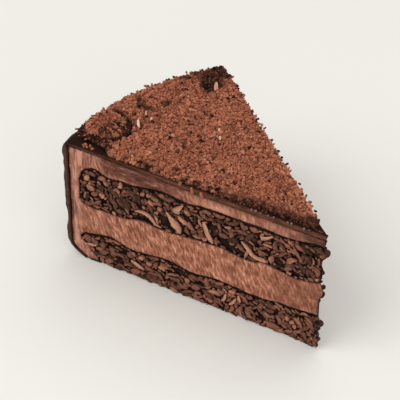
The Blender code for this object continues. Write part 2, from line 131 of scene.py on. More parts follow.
# Pale slivers on the near face, as stations of (s, z, width) in mm
SLIVERS = (
    ((32.9, 36.4, 0.8), (35.2, 37.3, 1.7), (37.5, 37.5, 2.2), (39.7, 36.9, 2.4), (41.2, 35.3, 2.1),
     (42.6, 33.6, 1.4), (45.0, 32.7, 0.6)),
    ((47.2, 41.7, 1.0), (49.0, 40.0, 2.4), (50.9, 38.3, 4.5), (52.7, 36.3, 4.2), (53.3, 34.1, 2.0),
     (53.5, 33.2, 0.7)),
    ((54.6, 48.2, 0.8), (53.0, 46.4, 2.4), (51.6, 44.6, 3.4), (53.2, 43.6, 1.6)),
    ((63.6, 43.7, 1.3), (64.9, 40.9, 2.6), (66.2, 38.2, 2.6), (67.5, 35.9, 2.3), (67.9, 34.4, 0.9)),
    ((80.3, 41.0, 0.7), (82.1, 39.8, 1.9), (83.9, 38.5, 2.5), (85.4, 36.7, 2.4), (87.6, 35.8, 2.2),
     (89.9, 35.7, 2.5), (91.3, 34.9, 0.8)),
    ((88.3, 46.4, 2.6), (90.7, 47.3, 1.7), (93.2, 48.9, 0.9)),
    ((9.4, 8.9, 0.8), (11.4, 9.3, 2.0), (13.8, 9.4, 1.0)),
    ((30.6, 8.6, 0.9), (33.0, 8.2, 2.4), (35.4, 7.2, 2.0), (37.0, 6.4, 0.7)),
    ((74.6, 10.2, 0.9), (74.2, 8.0, 1.7), (73.0, 6.0, 0.9)),
    ((79.2, 9.8, 0.8), (78.0, 7.6, 1.7), (76.2, 5.4, 0.9)),
    ((80.2, 12.0, 0.9), (80.8, 10.4, 1.8), (81.2, 8.8, 0.8)),
    ((81.4, 4.2, 0.6), (82.2, 2.0, 1.0)),
)

# Chips set on the near face of each sponge, as (s, z, length, width, lean, tone) in mm and degrees
UPPER_CHIPS = (
    (9.9, 43.7, 3.7, 2.6, 0, 0.92), (11.7, 40.3, 5.4, 2.7, 12, 0.82), (9.3, 35.4, 5.6, 1.3, 72, 0.9),
    (17.4, 38.2, 3.2, 2.5, 22, 0.85), (19.3, 44.8, 3.6, 2.4, -43, 0.8), (26.0, 46.0, 4.4, 2.1, 66, 0.86),
    (13.5, 37.5, 3.7, 2.3, 31, 0.55), (36.4, 46.8, 2.6, 2.1, 12, 0.8), (38.9, 46.6, 2.5, 2.2, 22, 0.8),
    (40.1, 44.0, 4.1, 2.2, -57, 0.96), (42.9, 40.0, 2.6, 2.1, 0, 0.85), (44.5, 42.4, 2.5, 1.9, 23, 0.8),
    (15.3, 33.6, 4.2, 1.8, 39, 0.6), (56.8, 45.4, 3.6, 2.4, -57, 0.8), (60.7, 34.9, 4.7, 2.0, 7, 0.7),
    (64.3, 35.4, 3.0, 2.2, 1, 0.85), (99.4, 47.0, 3.7, 1.9, -72, 0.75), (92.8, 37.7, 3.5, 2.2, 85, 0.7),
    (100.4, 35.9, 4.6, 1.8, 33, 0.6), (109.5, 41.2, 3.8, 2.3, 24, 0.66), (75.8, 42.4, 3.2, 2.3, -56, 0.66),
    (22.6, 36.0, 6.2, 2.2, -52, 0.42), (25.4, 38.0, 7.4, 2.3, -62, 0.36), (29.2, 38.6, 8.2, 2.8, -66, 0.2),
    (22.0, 42.6, 7.4, 2.4, -38, 0.3), (31.8, 44.0, 6.8, 2.4, -56, 0.3), (16.6, 42.2, 4.8, 2.0, -24, 0.3),
)
LOWER_CHIPS = (
    (10.3, 12.4, 4.6, 2.4, -40, 0.6), (16.8, 11.2, 3.8, 3.4, -59, 0.5), (30.2, 11.5, 3.4, 2.6, -28, 0.55),
    (35.5, 12.2, 3.0, 2.1, 14, 0.9), (44.7, 10.5, 4.0, 2.1, -20, 0.92), (57.2, 10.0, 2.9, 2.6, -70, 0.82),
    (19.5, 3.4, 5.2, 3.4, 2, 0.55), (32.5, 3.5, 5.3, 3.0, 8, 0.6), (39.4, 10.9, 3.2, 2.1, 1, 0.75),
    (61.2, 7.4, 4.2, 3.2, 2, 0.66), (77.4, 12.7, 3.2, 2.3, 14, 0.9), (66.8, 2.8, 5.2, 2.6, 2, 0.8),
    (98.5, 6.9, 5.9, 2.4, -73, 0.7), (101.9, 9.8, 2.8, 2.2, 26, 0.86), (104.5, 9.9, 2.3, 1.9, 26, 0.92),
    (105.3, 7.2, 2.1, 2.2, 26, 0.92), (111.8, 5.9, 2.3, 1.9, 27, 0.66), (101.0, 5.1, 3.1, 2.4, -43, 0.76),
)

# Hollows torn in the near face, as (s, z, length, width, lean) in mm and degrees
UPPER_HOLLOWS = (
    (36.4, 33.9, 10.7, 2.6, -4), (47.6, 36.3, 8.6, 4.2, -40), (13.8, 45.5, 2.8, 2.2, -13),
    (17.6, 35.0, 3.8, 2.4, 66), (41.6, 48.6, 5.0, 2.0, -14), (56.8, 42.2, 5.0, 2.4, -43),
    (67.6, 43.2, 4.2, 3.2, -28), (73.8, 37.0, 6.8, 3.2, -34), (79.0, 35.6, 6.0, 2.4, -21),
    (91.3, 40.8, 4.2, 1.8, 13), (96.5, 38.1, 4.2, 2.6, -28), (102.8, 34.9, 4.6, 1.6, -6),
    (111.0, 47.8, 3.6, 2.0, 13), (87.0, 42.6, 3.0, 1.6, -50), (33.6, 40.8, 5.2, 1.4, -60),
)
LOWER_HOLLOWS = (
    (25.1, 6.2, 4.4, 2.4, 67), (27.7, 12.6, 3.9, 1.8, -44), (53.6, 12.9, 6.9, 2.0, -16),
    (61.9, 10.6, 4.4, 1.7, 25), (90.9, 5.4, 3.2, 2.4, -13), (73.4, 1.9, 3.3, 1.6, 26),
    (106.9, 14.0, 4.8, 1.7, 1), (20.0, 13.6, 4.6, 1.2, -8), (86.6, 11.6, 3.2, 1.4, -30),
)

# Where the crumbs end on the glaze. Their near edge is given as (distance from the rim, distance
# behind the near cut) in metres
CRUMB_RIM_INSET = 1.0 * MM
CRUMB_FAR_INSET = 0.2 * MM
CRUMB_TIP_LIMIT = 0.1095
BARE_CORNER = math.radians(4.6)
NEAR_INSET = (
    (0.0120, 0.0046), (0.0170, 0.0040), (0.0215, 0.0006), (0.0500, 0.0003), (0.0650, 0.0009),
    (0.0750, 0.0013), (0.0840, 0.0023), (0.0960, 0.0025), (0.1100, 0.0019),
)

# The clump of longer crumbs by the rim, the groove round it and the fringe of dark dashes
CLUMP_PLACE = (-0.0457, -0.0235)
CLUMP_RADIUS = 8.3 * MM
RING_WIDTH = 3.0 * MM
FRINGE_TURN = (math.radians(-162), math.radians(108))
CLUMP_OPENS_AT = math.radians(165)
DASHES_TOWARDS = np.array((0.997, 0.070))

# A hollow in the blanket by the far cut
HOLLOW_PLACE = (-0.0390, 0.0272)
HOLLOW_RADIUS = 5.2 * MM

# Mounds in the blanket of crumbs, as (x, y, radius, height) in mm
MOUNDS = (
    (-54.5, -7.0, 8.0, 1.1), (-54.0, 2.0, 6.0, 0.7), (-50.5, 37.0, 7.0, 0.7), (-51.8, -30.0, 5.0, -1.1),
)

# Dark patches among the crumbs, as (x, y, radius, strength) in mm
DARK_PATCHES = (
    (-46.5, -4.7, 3.0, 0.95), (-37.7, -3.9, 1.4, 0.9), (-43.4, -3.7, 2.6, 0.85), (-41.3, 5.1, 1.5, 0.8),
    (-39.8, 10.3, 1.3, 0.8), (-22.5, -9.0, 1.2, 1.0), (-24.5, 2.5, 1.0, 1.0), (-43.3, 17.2, 1.1, 0.9),
    (-14.1, -8.8, 1.1, 0.9), (-7.9, -5.8, 0.9, 0.9), (2.0, 11.2, 0.9, 1.0), (6.3, -6.3, 1.1, 1.0),
    (-13.0, -0.2, 0.9, 0.9), (-9.7, -20.3, 1.1, 0.9), (-4.0, -16.6, 1.2, 0.9), (-14.3, -26.6, 2.4, 0.95),
    (-17.6, -27.6, 1.6, 0.8), (-4.9, -20.1, 1.9, 0.9), (5.3, -19.2, 2.2, 0.95), (0.4, -22.3, 2.0, 0.95),
    (13.2, -14.9, 1.7, 0.95), (10.6, -16.8, 1.4, 0.9), (-24.0, -30.5, 1.4, 0.7), (-38.0, -12.8, 1.6, 0.8),
    (-41.0, 26.4, 4.8, 1.0), (-39.0, 30.5, 3.8, 0.9), (-44.5, 30.5, 6.5, 0.9), (-50.5, 29.5, 5.2, 0.72),
    (-47.5, 35.5, 5.8, 0.8), (-43.0, 37.0, 4.4, 0.9), (-51.5, 34.5, 4.0, 0.65), (49.8, -0.6, 4.8, 0.85),
    (-36.0, -13.0, 0.9, 1.0), (-37.7, -14.9, 0.9, 1.0), (-39.4, -8.2, 1.8, 0.8), (22.5, 3.0, 0.9, 0.9),
    (-39.6, -33.0, 3.2, 0.95), (-43.0, -34.2, 3.0, 0.9), (-34.8, -32.2, 2.6, 0.85), (-49.6, -3.0, 2.4, 0.8),
    (-51.5, 22.5, 2.2, 0.8), (52.6, -1.2, 3.4, 0.95), (47.0, -3.6, 2.8, 0.85), (-38.0, 25.6, 3.6, 0.95),
    (-47.6, -34.8, 4.0, 0.95), (-41.0, -0.6, 1.7, 0.8),
)

# Pale flakes on the crumbs, as (x, y, length, width, tone) in mm
PALE_FLAKES = (
    (-36.9, -13.9, 4.2, 1.15, 0.8), (-38.6, 28.7, 5.2, 1.8, 0.0), (-9.3, 5.6, 2.4, 1.1, 0.5),
    (-14.0, 9.2, 1.8, 1.0, 0.4), (-40.6, -7.0, 3.2, 0.95, 0.0), (-36.5, -7.6, 1.9, 1.1, 0.3),
)

# Crumbs that hang over the near cut, as (distance from the rim, height) in mm
HANGING_CRUMBS = ((58.8, 58.1), (62.9, 57.5), (53.6, 59.4))

# Crumbs strayed onto the bare corner, as (distance from the rim, distance behind the near cut) in mm
STRAY_CRUMBS = ((8.6, 1.6), (9.4, 0.9), (9.9, 1.9), (10.6, 1.1), (9.1, 2.4), (11.4, 2.2), (13.1, 1.2))

# Dim specks on the bare glaze by the tip, as (x, y) in mm, and their tone
SPECKS = (
    (29.2, -11.9), (30.7, -11.2), (32.8, -10.5), (35.6, -9.5), (37.7, -8.5), (43.1, -6.4), (44.5, -5.8),
    (49.5, -4.2), (51.2, -3.2),
)
SPECK_TONE = -1.0

# Numbers of crumbs at the blanket's edge, of which a share are nubs, and of those in the dust by
# the near cut, in the clump and in its fringe
EDGE_CRUMBS = 560
NUB_SHARE = 0.12
DUST_CRUMBS = 230
CLUMP_CRUMBS = 620
FRINGE_CRUMBS = 520

# How finely the pieces are built: steps about the tip's axis, spacings over the cut faces and the
# blanket of crumbs, spacing along straight outlines, and steps down the rim's foot
MOUSSE_TURNS, MOUSSE_SPACING = 16, 0.65 * MM
GLAZE_TURNS, GLAZE_SPACING = 48, 0.6 * MM
GROUND_TURNS, GROUND_COLUMNS, GROUND_CELL = 6, 150, 0.8 * MM
BED_SPACING = 0.75 * MM
LINE_SPACING = 1 * MM
FOOT_STEPS = 10

# The camera stands towards the tip, at the photograph's angle
CAMERA_TARGET = (TIP_X - 0.6264 * RADIUS, 0.0038 * RADIUS, 0.2551 * RADIUS)
CAMERA_AZIMUTH = math.radians(49.0)
CAMERA_ELEVATION = math.radians(39.77)
CAMERA_ROLL = math.radians(1.45)
CAMERA_DISTANCE = 4.7228 * RADIUS
CAMERA_LENS = 118.5

# Lights, as (name, place, size), and the spot that they look at
LIGHTS = (
    ("key", (-0.36, -1.32, 1.60), 1.5),
    ("fill", (1.24, -0.68, 1.10), 1.6),
    ("overhead", (-0.30, 0.80, 1.90), 1.8),
)
LIGHTS_LOOK_AT = (0, 0, 0.03)


def colour_of(red, green, blue):
    """The linear colour of a screen colour given as 0 to 255."""
    values = np.array((red, green, blue)) / 255
    linear = np.where(values <= 0.04045, values / 12.92, ((values + 0.055) / 1.055) ** 2.4)
    return (*linear.tolist(), 1.0)


def colour_property(name, description, *screen):
    """A colour that the user may change, with its default as a screen colour."""
    return FloatVectorProperty(
        name=name, description=description, default=colour_of(*screen),
        size=4, min=0.0, max=1.0, subtype="COLOR",
    )


def length_property(name, description, default, low, high):
    """A length that the user may change, given in mm."""
    return FloatProperty(
        name=name, description=description, default=default * MM,
        min=low * MM, max=high * MM, unit="LENGTH",
    )


class SpongeSettings(bpy.types.PropertyGroup):
    """Sizes and colours of the torn sponge."""

    lump_length: length_property("Lump length", "Length of the longest lumps on a cut face", 6.4, 2, 20)
    lump_width: length_property("Lump width", "Width of the widest lumps on a cut face", 2.3, 1, 8)
    recess: length_property("Recess", "Depth of the crumb's ground behind the cut", 1.3, 0.2, 5)
    dark: colour_property("Dark", "Crevices and the darkest lumps", 33, 17, 10)
    middle: colour_property("Middle", "Most lumps", 117, 73, 56)
    light: colour_property("Light", "The palest lumps", 154, 100, 78)
    sliver: colour_property("Sliver", "The pale curled slivers", 216, 156, 120)


class MousseSettings(bpy.types.PropertyGroup):
    """Sizes and colours of the mousse."""

    stroke: length_property("Stroke depth", "Depth of the marks that the knife left", 0.16, 0.0, 1)
    middle: colour_property("Middle", "Most of the mousse", 160, 99, 74)
    # Dark colours the marks' bottoms, partly their own streaks and partly painted shade
    dark: colour_property("Dark", "The marks' bottoms", 112, 64, 45)
    # Light colours the band by the rim, a painted highlight
    light: colour_property("Light", "The band by the rim", 212, 154, 130)


class GlazeSettings(bpy.types.PropertyGroup):
    """Colours of the glaze."""

    outside: colour_property("Outside", "The glaze's outer face", 22, 10, 7)
    cut: colour_property("Cut", "The glaze where it is cut", 112, 70, 54)


class CrumbSettings(bpy.types.PropertyGroup):
    """Sizes and colours of the crumbs."""

    depth: length_property("Depth", "Mean depth of the crumbs on the glaze", 1.7, 0.5, 5)
    fine_count: IntProperty(
        name="Fine crumbs", description="Number of fine crumbs", default=9800, min=100, max=9900,
    )
    coarse_count: IntProperty(
        name="Coarse crumbs", description="Number of coarse crumbs", default=900, min=10, max=2400,
    )
    fine_size: length_property("Fine size", "Mean half length of a fine crumb", 0.46, 0.2, 2)
    coarse_size: length_property("Coarse size", "Mean half length of a coarse crumb", 0.74, 0.4, 3)
    middle: colour_property("Middle", "Most crumbs", 163, 98, 72)
    dark: colour_property("Dark", "The dark crumbs", 26, 12, 8)
    light: colour_property("Light", "The palest crumbs", 192, 128, 100)


class StageSettings(bpy.types.PropertyGroup):
    """The floor and the lights."""

    floor: colour_property("Floor", "The pale floor", 229, 228, 222)
    key: FloatProperty(name="Key light", description="Power of the main light", default=20.0, min=0.0)
    fill: FloatProperty(name="Fill light", description="Power of the weaker light", default=8.0, min=0.0)
    overhead: FloatProperty(
        name="Overhead light", description="Power of the light above", default=12.0, min=0.0,
    )
    sky: FloatProperty(name="Sky", description="Brightness of the room", default=0.52, min=0.0)


def ease(start, end, value):
    """Rises smoothly from 0 before start to 1 beyond end."""
    share = np.clip((np.asarray(value, float) - start) / (end - start), 0, 1)
    return share * share * (3 - 2 * share)


def on_line(stations, along):
    """Heights of a smooth line through its stations, level beyond both ends."""
    s, z = np.array(stations).T
    i = np.clip(np.searchsorted(s, along, side="right") - 1, 0, len(s) - 2)
    return z[i] + (z[i + 1] - z[i]) * ease(s[i], s[i + 1], along)


def edge_height(stations, level, along, share):
    """Height of a sponge's edge where the cake shows that share of the drawn line's waves."""
    drawn = on_line(stations, along)
    whole = np.maximum(1 - ease(*ROUND_END, along), ease(*TIP_END, along))
    return level + (drawn - level) * (share + (1 - share) * whole)


def place(s, z, angle):
    """Points at those distances from the rim, heights and angles about the tip's axis."""
    reach = RADIUS - np.asarray(s, float)
    x, y, z = np.broadcast_arrays(TIP_X - reach * np.cos(angle), reach * np.sin(angle), z)
    return np.stack((x, y, z), -1)


def smooth_noise(points, size):
    """Smooth noise from about -1 to 1 at the points, with lumps about that size."""
    return np.array([noise.noise(Vector(point)) for point in np.asarray(points) / size]) * 1.6


def noise_at(u, v, level, size):
    """Smooth noise over a plane, on that level of the noise."""
    return smooth_noise(np.column_stack((u, v, np.full_like(u, level))), size)


def unit(vectors):
    """The vectors, each made one long."""
    return vectors / np.linalg.norm(vectors, axis=-1, keepdims=True)


class CutFace:
    """A cut face of the slice: side is -1 for the near one and 1 for the far one."""

    def __init__(self, side):
        self.side = side
        self.share = 1.0 if side < 0 else FAR_FACE_SHARE
        sine, cosine = math.sin(HALF_ANGLE), math.cos(HALF_ANGLE)
        self.along = np.array((cosine, -side * sine, 0.0))
        self.out = np.array((sine, side * cosine, 0.0))
        self.start = place(0.0, 0.0, side * HALF_ANGLE)

    def point(self, s, z, out):
        """Points on the face, moved out of it."""
        s, z, out = np.broadcast_arrays(s, z, out)
        return self.start + s[..., None] * self.along + z[..., None] * UP + out[..., None] * self.out


NEAR, FAR = CutFace(-1), CutFace(1)


class Layer:
    """One sponge layer: its edges, levels, hollows, chips and name."""

    def __init__(self, node, top, bottom, levels, hollows, chips, seed):
        self.node, self.top_line, self.bottom_line = node, top, bottom
        self.levels, self.hollows, self.chips, self.seed = levels, hollows, chips, seed
        self.start = top[0][0]

    def top(self, s, share):
        """Heights of the top edge where the cake shows that share of its waves."""
        return edge_height(self.top_line, self.levels[0], s, share)

    def bottom(self, s, share):
        """Heights of the bottom edge there."""
        return edge_height(self.bottom_line, self.levels[1], s, share)

    def in_hollow(self, s, z, face, grow=0.0):
        """From 0 outside the face's hollows to 1 in the middle of one."""
        deep = np.zeros(np.broadcast(s, z).shape)
        if face.side > 0:
            return deep
        for mid_s, mid_z, length, width, lean in self.hollows:
            turn = math.radians(lean)
            ds, dz = s - mid_s * MM, z - mid_z * MM
            u = (ds * math.cos(turn) + dz * math.sin(turn)) / (length / 2 * MM + grow)
            v = (dz * math.cos(turn) - ds * math.sin(turn)) / (width / 2 * MM + grow)
            deep = np.maximum(deep, 1 - np.sqrt(u * u + v * v))
        return np.clip(deep, 0, 1)


UPPER = Layer("sponge_upper", UPPER_TOP, UPPER_BOTTOM, UPPER_LEVELS, UPPER_HOLLOWS, UPPER_CHIPS, 5)
LOWER = Layer("sponge_lower", LOWER_TOP, LOWER_BOTTOM, LOWER_LEVELS, LOWER_HOLLOWS, LOWER_CHIPS, 8)


class Shader:
    """A Principled material and the nodes that feed it."""

    def __init__(self, name, roughness, specular=0.5):
        self.material = bpy.data.materials.new(name)
        self.material.use_nodes = True
        self.nodes = self.material.node_tree.nodes
        self.links = self.material.node_tree.links
        self.principled = self.nodes["Principled BSDF"]
        self.principled.inputs["Roughness"].default_value = roughness
        self.principled.inputs["Specular IOR Level"].default_value = specular

    def node(self, kind, **settings):
        """A new node of that kind."""
        made = self.nodes.new(kind)
        for name, value in settings.items():
            setattr(made, name, value)
        return made

    def feed(self, socket, value):
        """Links an output to the socket, or sets the socket's own value."""
        if isinstance(value, bpy.types.NodeSocket):
            self.links.new(value, socket)
        else:
            socket.default_value = value

    def attribute(self, name, output="Fac"):
        """An attribute of the mesh."""
        return self.node("ShaderNodeAttribute", attribute_name=name).outputs[output]

    def place(self):
        """The place on the cake, in metres."""
        return self.node("ShaderNodeTexCoord").outputs["Object"]

    def stretched(self, vector, lengths, turn=0.0):
        """A place whose patterns are drawn out so many times along axes turned about Z."""
        mapping = self.node("ShaderNodeMapping", vector_type="TEXTURE")
        self.feed(mapping.inputs["Vector"], vector)
        mapping.inputs["Scale"].default_value = lengths
        mapping.inputs["Rotation"].default_value = (0, 0, math.radians(turn))
        return mapping.outputs["Vector"]

    def noise(self, vector, size, detail=3.0, roughness=0.55):
        """Noise whose lumps have about that size in metres."""
        texture = self.node("ShaderNodeTexNoise")
        self.feed(texture.inputs["Vector"], vector)
        texture.inputs["Scale"].default_value = 1 / size
        texture.inputs["Detail"].default_value = detail
        texture.inputs["Roughness"].default_value = roughness
        return texture.outputs["Fac"]

    def streaks(self, vector, lengths, size, turn=0.0, detail=3.0, roughness=0.55):
        """Noise drawn out along axes turned about Z."""
        return self.noise(self.stretched(vector, lengths, turn), size, detail, roughness)

    def ramp(self, factor, *stops):
        """A colour ramp through (position, colour) stops."""
        ramp = self.node("ShaderNodeValToRGB")
        self.feed(ramp.inputs["Fac"], factor)
        elements = ramp.color_ramp.elements
        for _ in range(len(stops) - 2):
            elements.new(0.5)
        for element, (position, colour) in zip(elements, stops):
            element.position = position
            element.color = tuple(colour)
        return ramp.outputs["Color"]

    def grey(self, factor, low, high, start=0.0, end=1.0):
        """Maps a factor between start and end onto low to high."""
        mapped = self.node("ShaderNodeMapRange")
        self.feed(mapped.inputs["Value"], factor)
        for name, value in zip(("From Min", "From Max", "To Min", "To Max"), (start, end, low, high)):
            mapped.inputs[name].default_value = value
        return mapped.outputs["Result"]

    def add(self, first, second):
        """Adds two factors and holds the sum between 0 and 1."""
        made = self.node("ShaderNodeMath", operation="ADD", use_clamp=True)
        self.feed(made.inputs[0], first)
        self.feed(made.inputs[1], second)
        return made.outputs[0]

    def mix(self, factor, first, second):
        """Mixes two colours."""
        made = self.node("ShaderNodeMix", data_type="RGBA")
        self.feed(made.inputs[0], factor)
        self.feed(made.inputs[6], first)
        self.feed(made.inputs[7], second)
        return made.outputs[2]

    def base(self, colour):
        """Gives the surface its colour."""
        self.feed(self.principled.inputs["Base Color"], colour)

    def bump(self, height, depth):
        """Fine relief that deep, in metres."""
        made = self.node("ShaderNodeBump")
        made.inputs["Strength"].default_value = 1.0
        made.inputs["Distance"].default_value = depth
        self.feed(made.inputs["Height"], height)
        self.links.new(made.outputs["Normal"], self.principled.inputs["Normal"])


def sponge_material(settings):
    """Dark, dry sponge: each lump has its own tone, with painted shade on its sides and over the ground
    between the lumps.
    """
    shader = Shader("torn_sponge", 0.8, 0.16)
    spot = shader.place()
    grain = shader.noise(spot, 1.0 * MM, 4, 0.6)
    tone = shader.add(shader.attribute("tone"), shader.grey(grain, -0.2, 0.2, 0.3, 0.7))
    own = shader.ramp(
        tone, (0.0, settings.dark), (0.25, colour_of(66, 40, 30)), (0.5, settings.middle),
        (0.78, settings.light), (1.0, colour_of(194, 134, 104)),
    )
    cool = shader.grey(shader.noise(spot, 4 * MM, 1), 0.0, 0.35, 0.42, 0.65)
    own = shader.mix(cool, own, colour_of(84, 61, 50))
    # Painted shade turns each lump's sides, the ground and the nubs by the mousse near black
    shader.base(shader.mix(shader.attribute("shade"), own, colour_of(18, 8, 5)))
    shader.bump(shader.noise(spot, 0.4 * MM, 3, 0.6), 0.14 * MM)
    return shader.material


def sliver_material(settings):
    """Pale brown slivers, with painted shade along their edges and underneath, and painted highlight and
    shade across them.
    """
    shader = Shader("pale_sliver", 0.55)
    streaks = shader.streaks(shader.place(), (1, 1, 3), 0.6 * MM)
    pale = shader.ramp(streaks, (0.35, colour_of(184, 124, 94)), (0.6, settings.sliver))
    # The tone turns one side of a sliver brown and leaves the other pale: painted shade and highlight
    # across it
    own = shader.mix(shader.attribute("tone"), pale, colour_of(128, 78, 60))
    shader.base(shader.mix(shader.attribute("shade"), own, colour_of(60, 36, 28)))
    shader.bump(streaks, 0.12 * MM)
    return shader.material


def mousse_material(settings):
    """Mousse with the slanting marks of a knife, with a painted highlight by the rim and painted shade by
    the glaze, towards its ends and in its creases.
    """
    shader = Shader("chocolate_mousse", 0.6, 0.18)
    spot = shader.attribute("cut_place", "Vector")
    slant = shader.streaks(spot, (3.2, 1, 1), 1.25 * MM, KNIFE_SLANT, 2, 0.5)
    fine = shader.streaks(spot, (3.0, 1, 1), 0.75 * MM, KNIFE_SLANT - 14, 1, 0.5)
    cloud = shader.streaks(spot, (1.6, 1, 1), 3.2 * MM, -20, 1, 0.5)
    marks = shader.grey(slant, 0.0, 0.45, 0.38, 0.62)
    for more, most in ((fine, 0.35), (cloud, 0.2)):
        marks = shader.add(marks, shader.grey(more, 0.0, most, 0.38, 0.62))
    # The marks' own streaks, darker in their bottoms and paler on their ridges: partly their colour, partly
    # painted shade and highlight
    body = shader.ramp(
        marks, (0.12, settings.dark), (0.46, settings.middle), (0.68, colour_of(184, 122, 96)),
        (0.92, colour_of(212, 156, 130)),
    )
    broad = shader.streaks(spot, (2.2, 1, 1), 5 * MM, KNIFE_SLANT, 2)
    body = shader.mix(shader.grey(broad, 0.0, 0.5, 0.45, 0.7), body, colour_of(136, 84, 62))
    # Painted highlight: pale upright streaks by the rim
    upright = shader.streaks(spot, (1, 8, 1), 1.9 * MM, 0.0, 3, 0.6)
    rim = shader.ramp(
        upright, (0.38, colour_of(116, 70, 54)), (0.48, colour_of(168, 114, 94)), (0.56, settings.light),
    )
    body = shader.mix(shader.attribute("pale"), body, rim)
    # Painted shade by the glaze and towards both ends, in blotches
    blotch = shader.streaks(spot, (2.6, 1, 1), 1.7 * MM, 4, 3, 0.6)
    dusk = shader.ramp(
        blotch, (0.36, colour_of(62, 33, 23)), (0.48, colour_of(98, 54, 40)),
        (0.58, colour_of(120, 70, 54)), (0.7, colour_of(168, 110, 92)),
    )
    body = shader.mix(shader.attribute("dusk"), body, dusk)
    # Painted shade in the creases along the edges, and the dark foot
    shader.base(shader.mix(shader.attribute("deep"), body, colour_of(26, 13, 8)))
    shader.bump(marks, 0.3 * MM)
    return shader.material


def glaze_material(settings):
    """Dark glaze, half glossy outside and duller where it is cut."""
    shader = Shader("dark_glaze", 0.4)
    spot = shader.place()
    broad = shader.noise(spot, 4 * MM)
    outside = shader.ramp(broad, (0.35, settings.outside), (0.75, colour_of(38, 21, 15)))
    # On the wall the glaze is browner and lighter: partly its own colour, partly painted sheen
    wall = shader.ramp(broad, (0.35, colour_of(40, 22, 16)), (0.75, colour_of(60, 37, 29)))
    outside = shader.mix(shader.attribute("wall"), outside, wall)
    streaks = shader.streaks(shader.attribute("cut_place", "Vector"), (5, 1, 1), 0.7 * MM)
    cut = shader.ramp(streaks, (0.32, colour_of(58, 34, 25)), (0.68, settings.cut))
    shader.base(shader.mix(shader.attribute("cut"), outside, cut))
    surface = shader.principled.inputs
    shader.feed(surface["Roughness"], shader.grey(broad, 0.36, 0.55, 0.3, 0.7))
    shader.feed(surface["Specular IOR Level"], shader.grey(shader.attribute("wall"), 0.06, 0.2))
    surface["Specular Tint"].default_value = colour_of(255, 208, 186)
    shader.bump(shader.noise(spot, 0.7 * MM), 0.06 * MM)
    return shader.material


def crumb_material(settings):
    """Dry crumbs, each with its own shade, with darker ones in places."""
    shader = Shader("cocoa_crumbs", 0.85, 0.12)
    spot = shader.place()
    grain = shader.noise(spot, 1.1 * MM, 4)
    tone = shader.add(shader.attribute("tone"), shader.grey(grain, -0.14, 0.14, 0.3, 0.7))
    own = shader.ramp(
        tone, (0.0, colour_of(94, 47, 31)), (0.5, settings.middle), (0.85, settings.light),
        (1.0, colour_of(200, 146, 121)),
    )
    shader.base(shader.mix(shader.attribute("dark"), own, tuple(settings.dark)))
    shader.bump(shader.noise(spot, 0.4 * MM), 0.15 * MM)
    return shader.material


def flake_material():
    """Pale flakes: 1 is whitish, 0 is tan, and -1 is a dim speck."""
    shader = Shader("pale_flake", 0.6)
    streaks = shader.streaks(shader.place(), (3, 1, 1), 0.5 * MM, -41)
    tone = shader.grey(shader.attribute("tone"), 0, 1, -1, 1)
    own = shader.ramp(
        tone, (0.0, colour_of(106, 84, 76)), (0.5, colour_of(196, 140, 106)),
        (1.0, colour_of(228, 202, 184)),
    )
    shader.base(shader.mix(shader.grey(streaks, 0, 0.6, 0.45, 0.7), own, colour_of(120, 76, 58)))
    shader.bump(streaks, 0.12 * MM)
    return shader.material


def add_piece(name, points, faces, material, attributes, smooth=True):
    """A mesh piece of the cake that rides on its body."""
    mesh = bpy.data.meshes.new(name)
    mesh.from_pydata(np.asarray(points, float).tolist(), [], faces)
    for key, values in attributes.items():
        values = np.asarray(values, np.float32)
        kind = "FLOAT" if values.ndim == 1 else "FLOAT_VECTOR"
        layer = mesh.attributes.new(key, kind, "POINT")
        layer.data.foreach_set("value" if values.ndim == 1 else "vector", values.ravel())
    work = bmesh.new()
    work.from_mesh(mesh)
    bmesh.ops.remove_doubles(work, verts=work.verts[:], dist=0.001 * MM)
    bmesh.ops.recalc_face_normals(work, faces=work.faces[:])
    work.to_mesh(mesh)
    work.free()
    if smooth:
        mesh.shade_smooth()
    else:
        mesh.shade_flat()
    mesh.materials.append(material)
    piece = bpy.data.objects.new(name, mesh)
    bpy.context.scene.collection.objects.link(piece)
    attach(piece, BODY)
    return piece


class Bundle:
    """Points and faces of several parts that become one piece, with their attributes."""

    def __init__(self):
        self.parts, self.faces, self.count = [], [], 0

    def add(self, points, faces, **attributes):
        """Adds a part, with one value of each attribute for each point."""
        self.faces += [[i + self.count for i in face] for face in faces]
        self.count += len(points)
        self.parts.append((points, attributes))

    def add_copies(self, base, made, **looks):
        """Adds scattered copies of a ball, with one value of each attribute for each copy."""
        each = len(base[0])
        self.add(*made, **{name: np.repeat(values, each) for name, values in looks.items()})

    def piece(self, name, material, slot, smooth=True):
        """Builds the piece."""
        points = np.concatenate([points for points, _ in self.parts])
        names = self.parts[0][1]
        attributes = {key: np.concatenate([own[key] for _, own in self.parts]) for key in names}
        add_piece(name, points, self.faces, material, attributes, smooth)


def ball(subdivisions):
    """Points and triangles of a ball of radius 1."""
    work = bmesh.new()
    bmesh.ops.create_icosphere(work, subdivisions=subdivisions, radius=1.0)
    points = np.array([vert.co[:] for vert in work.verts])
    faces = np.array([[vert.index for vert in face.verts] for face in work.faces])
    work.free()
    return points, faces


def turned(first, second, angle):
    """Turns pairs of directions by angles in their own plane."""
    cosine, sine = np.cos(angle)[:, None], np.sin(angle)[:, None]
    return first * cosine + second * sine, second * cosine - first * sine


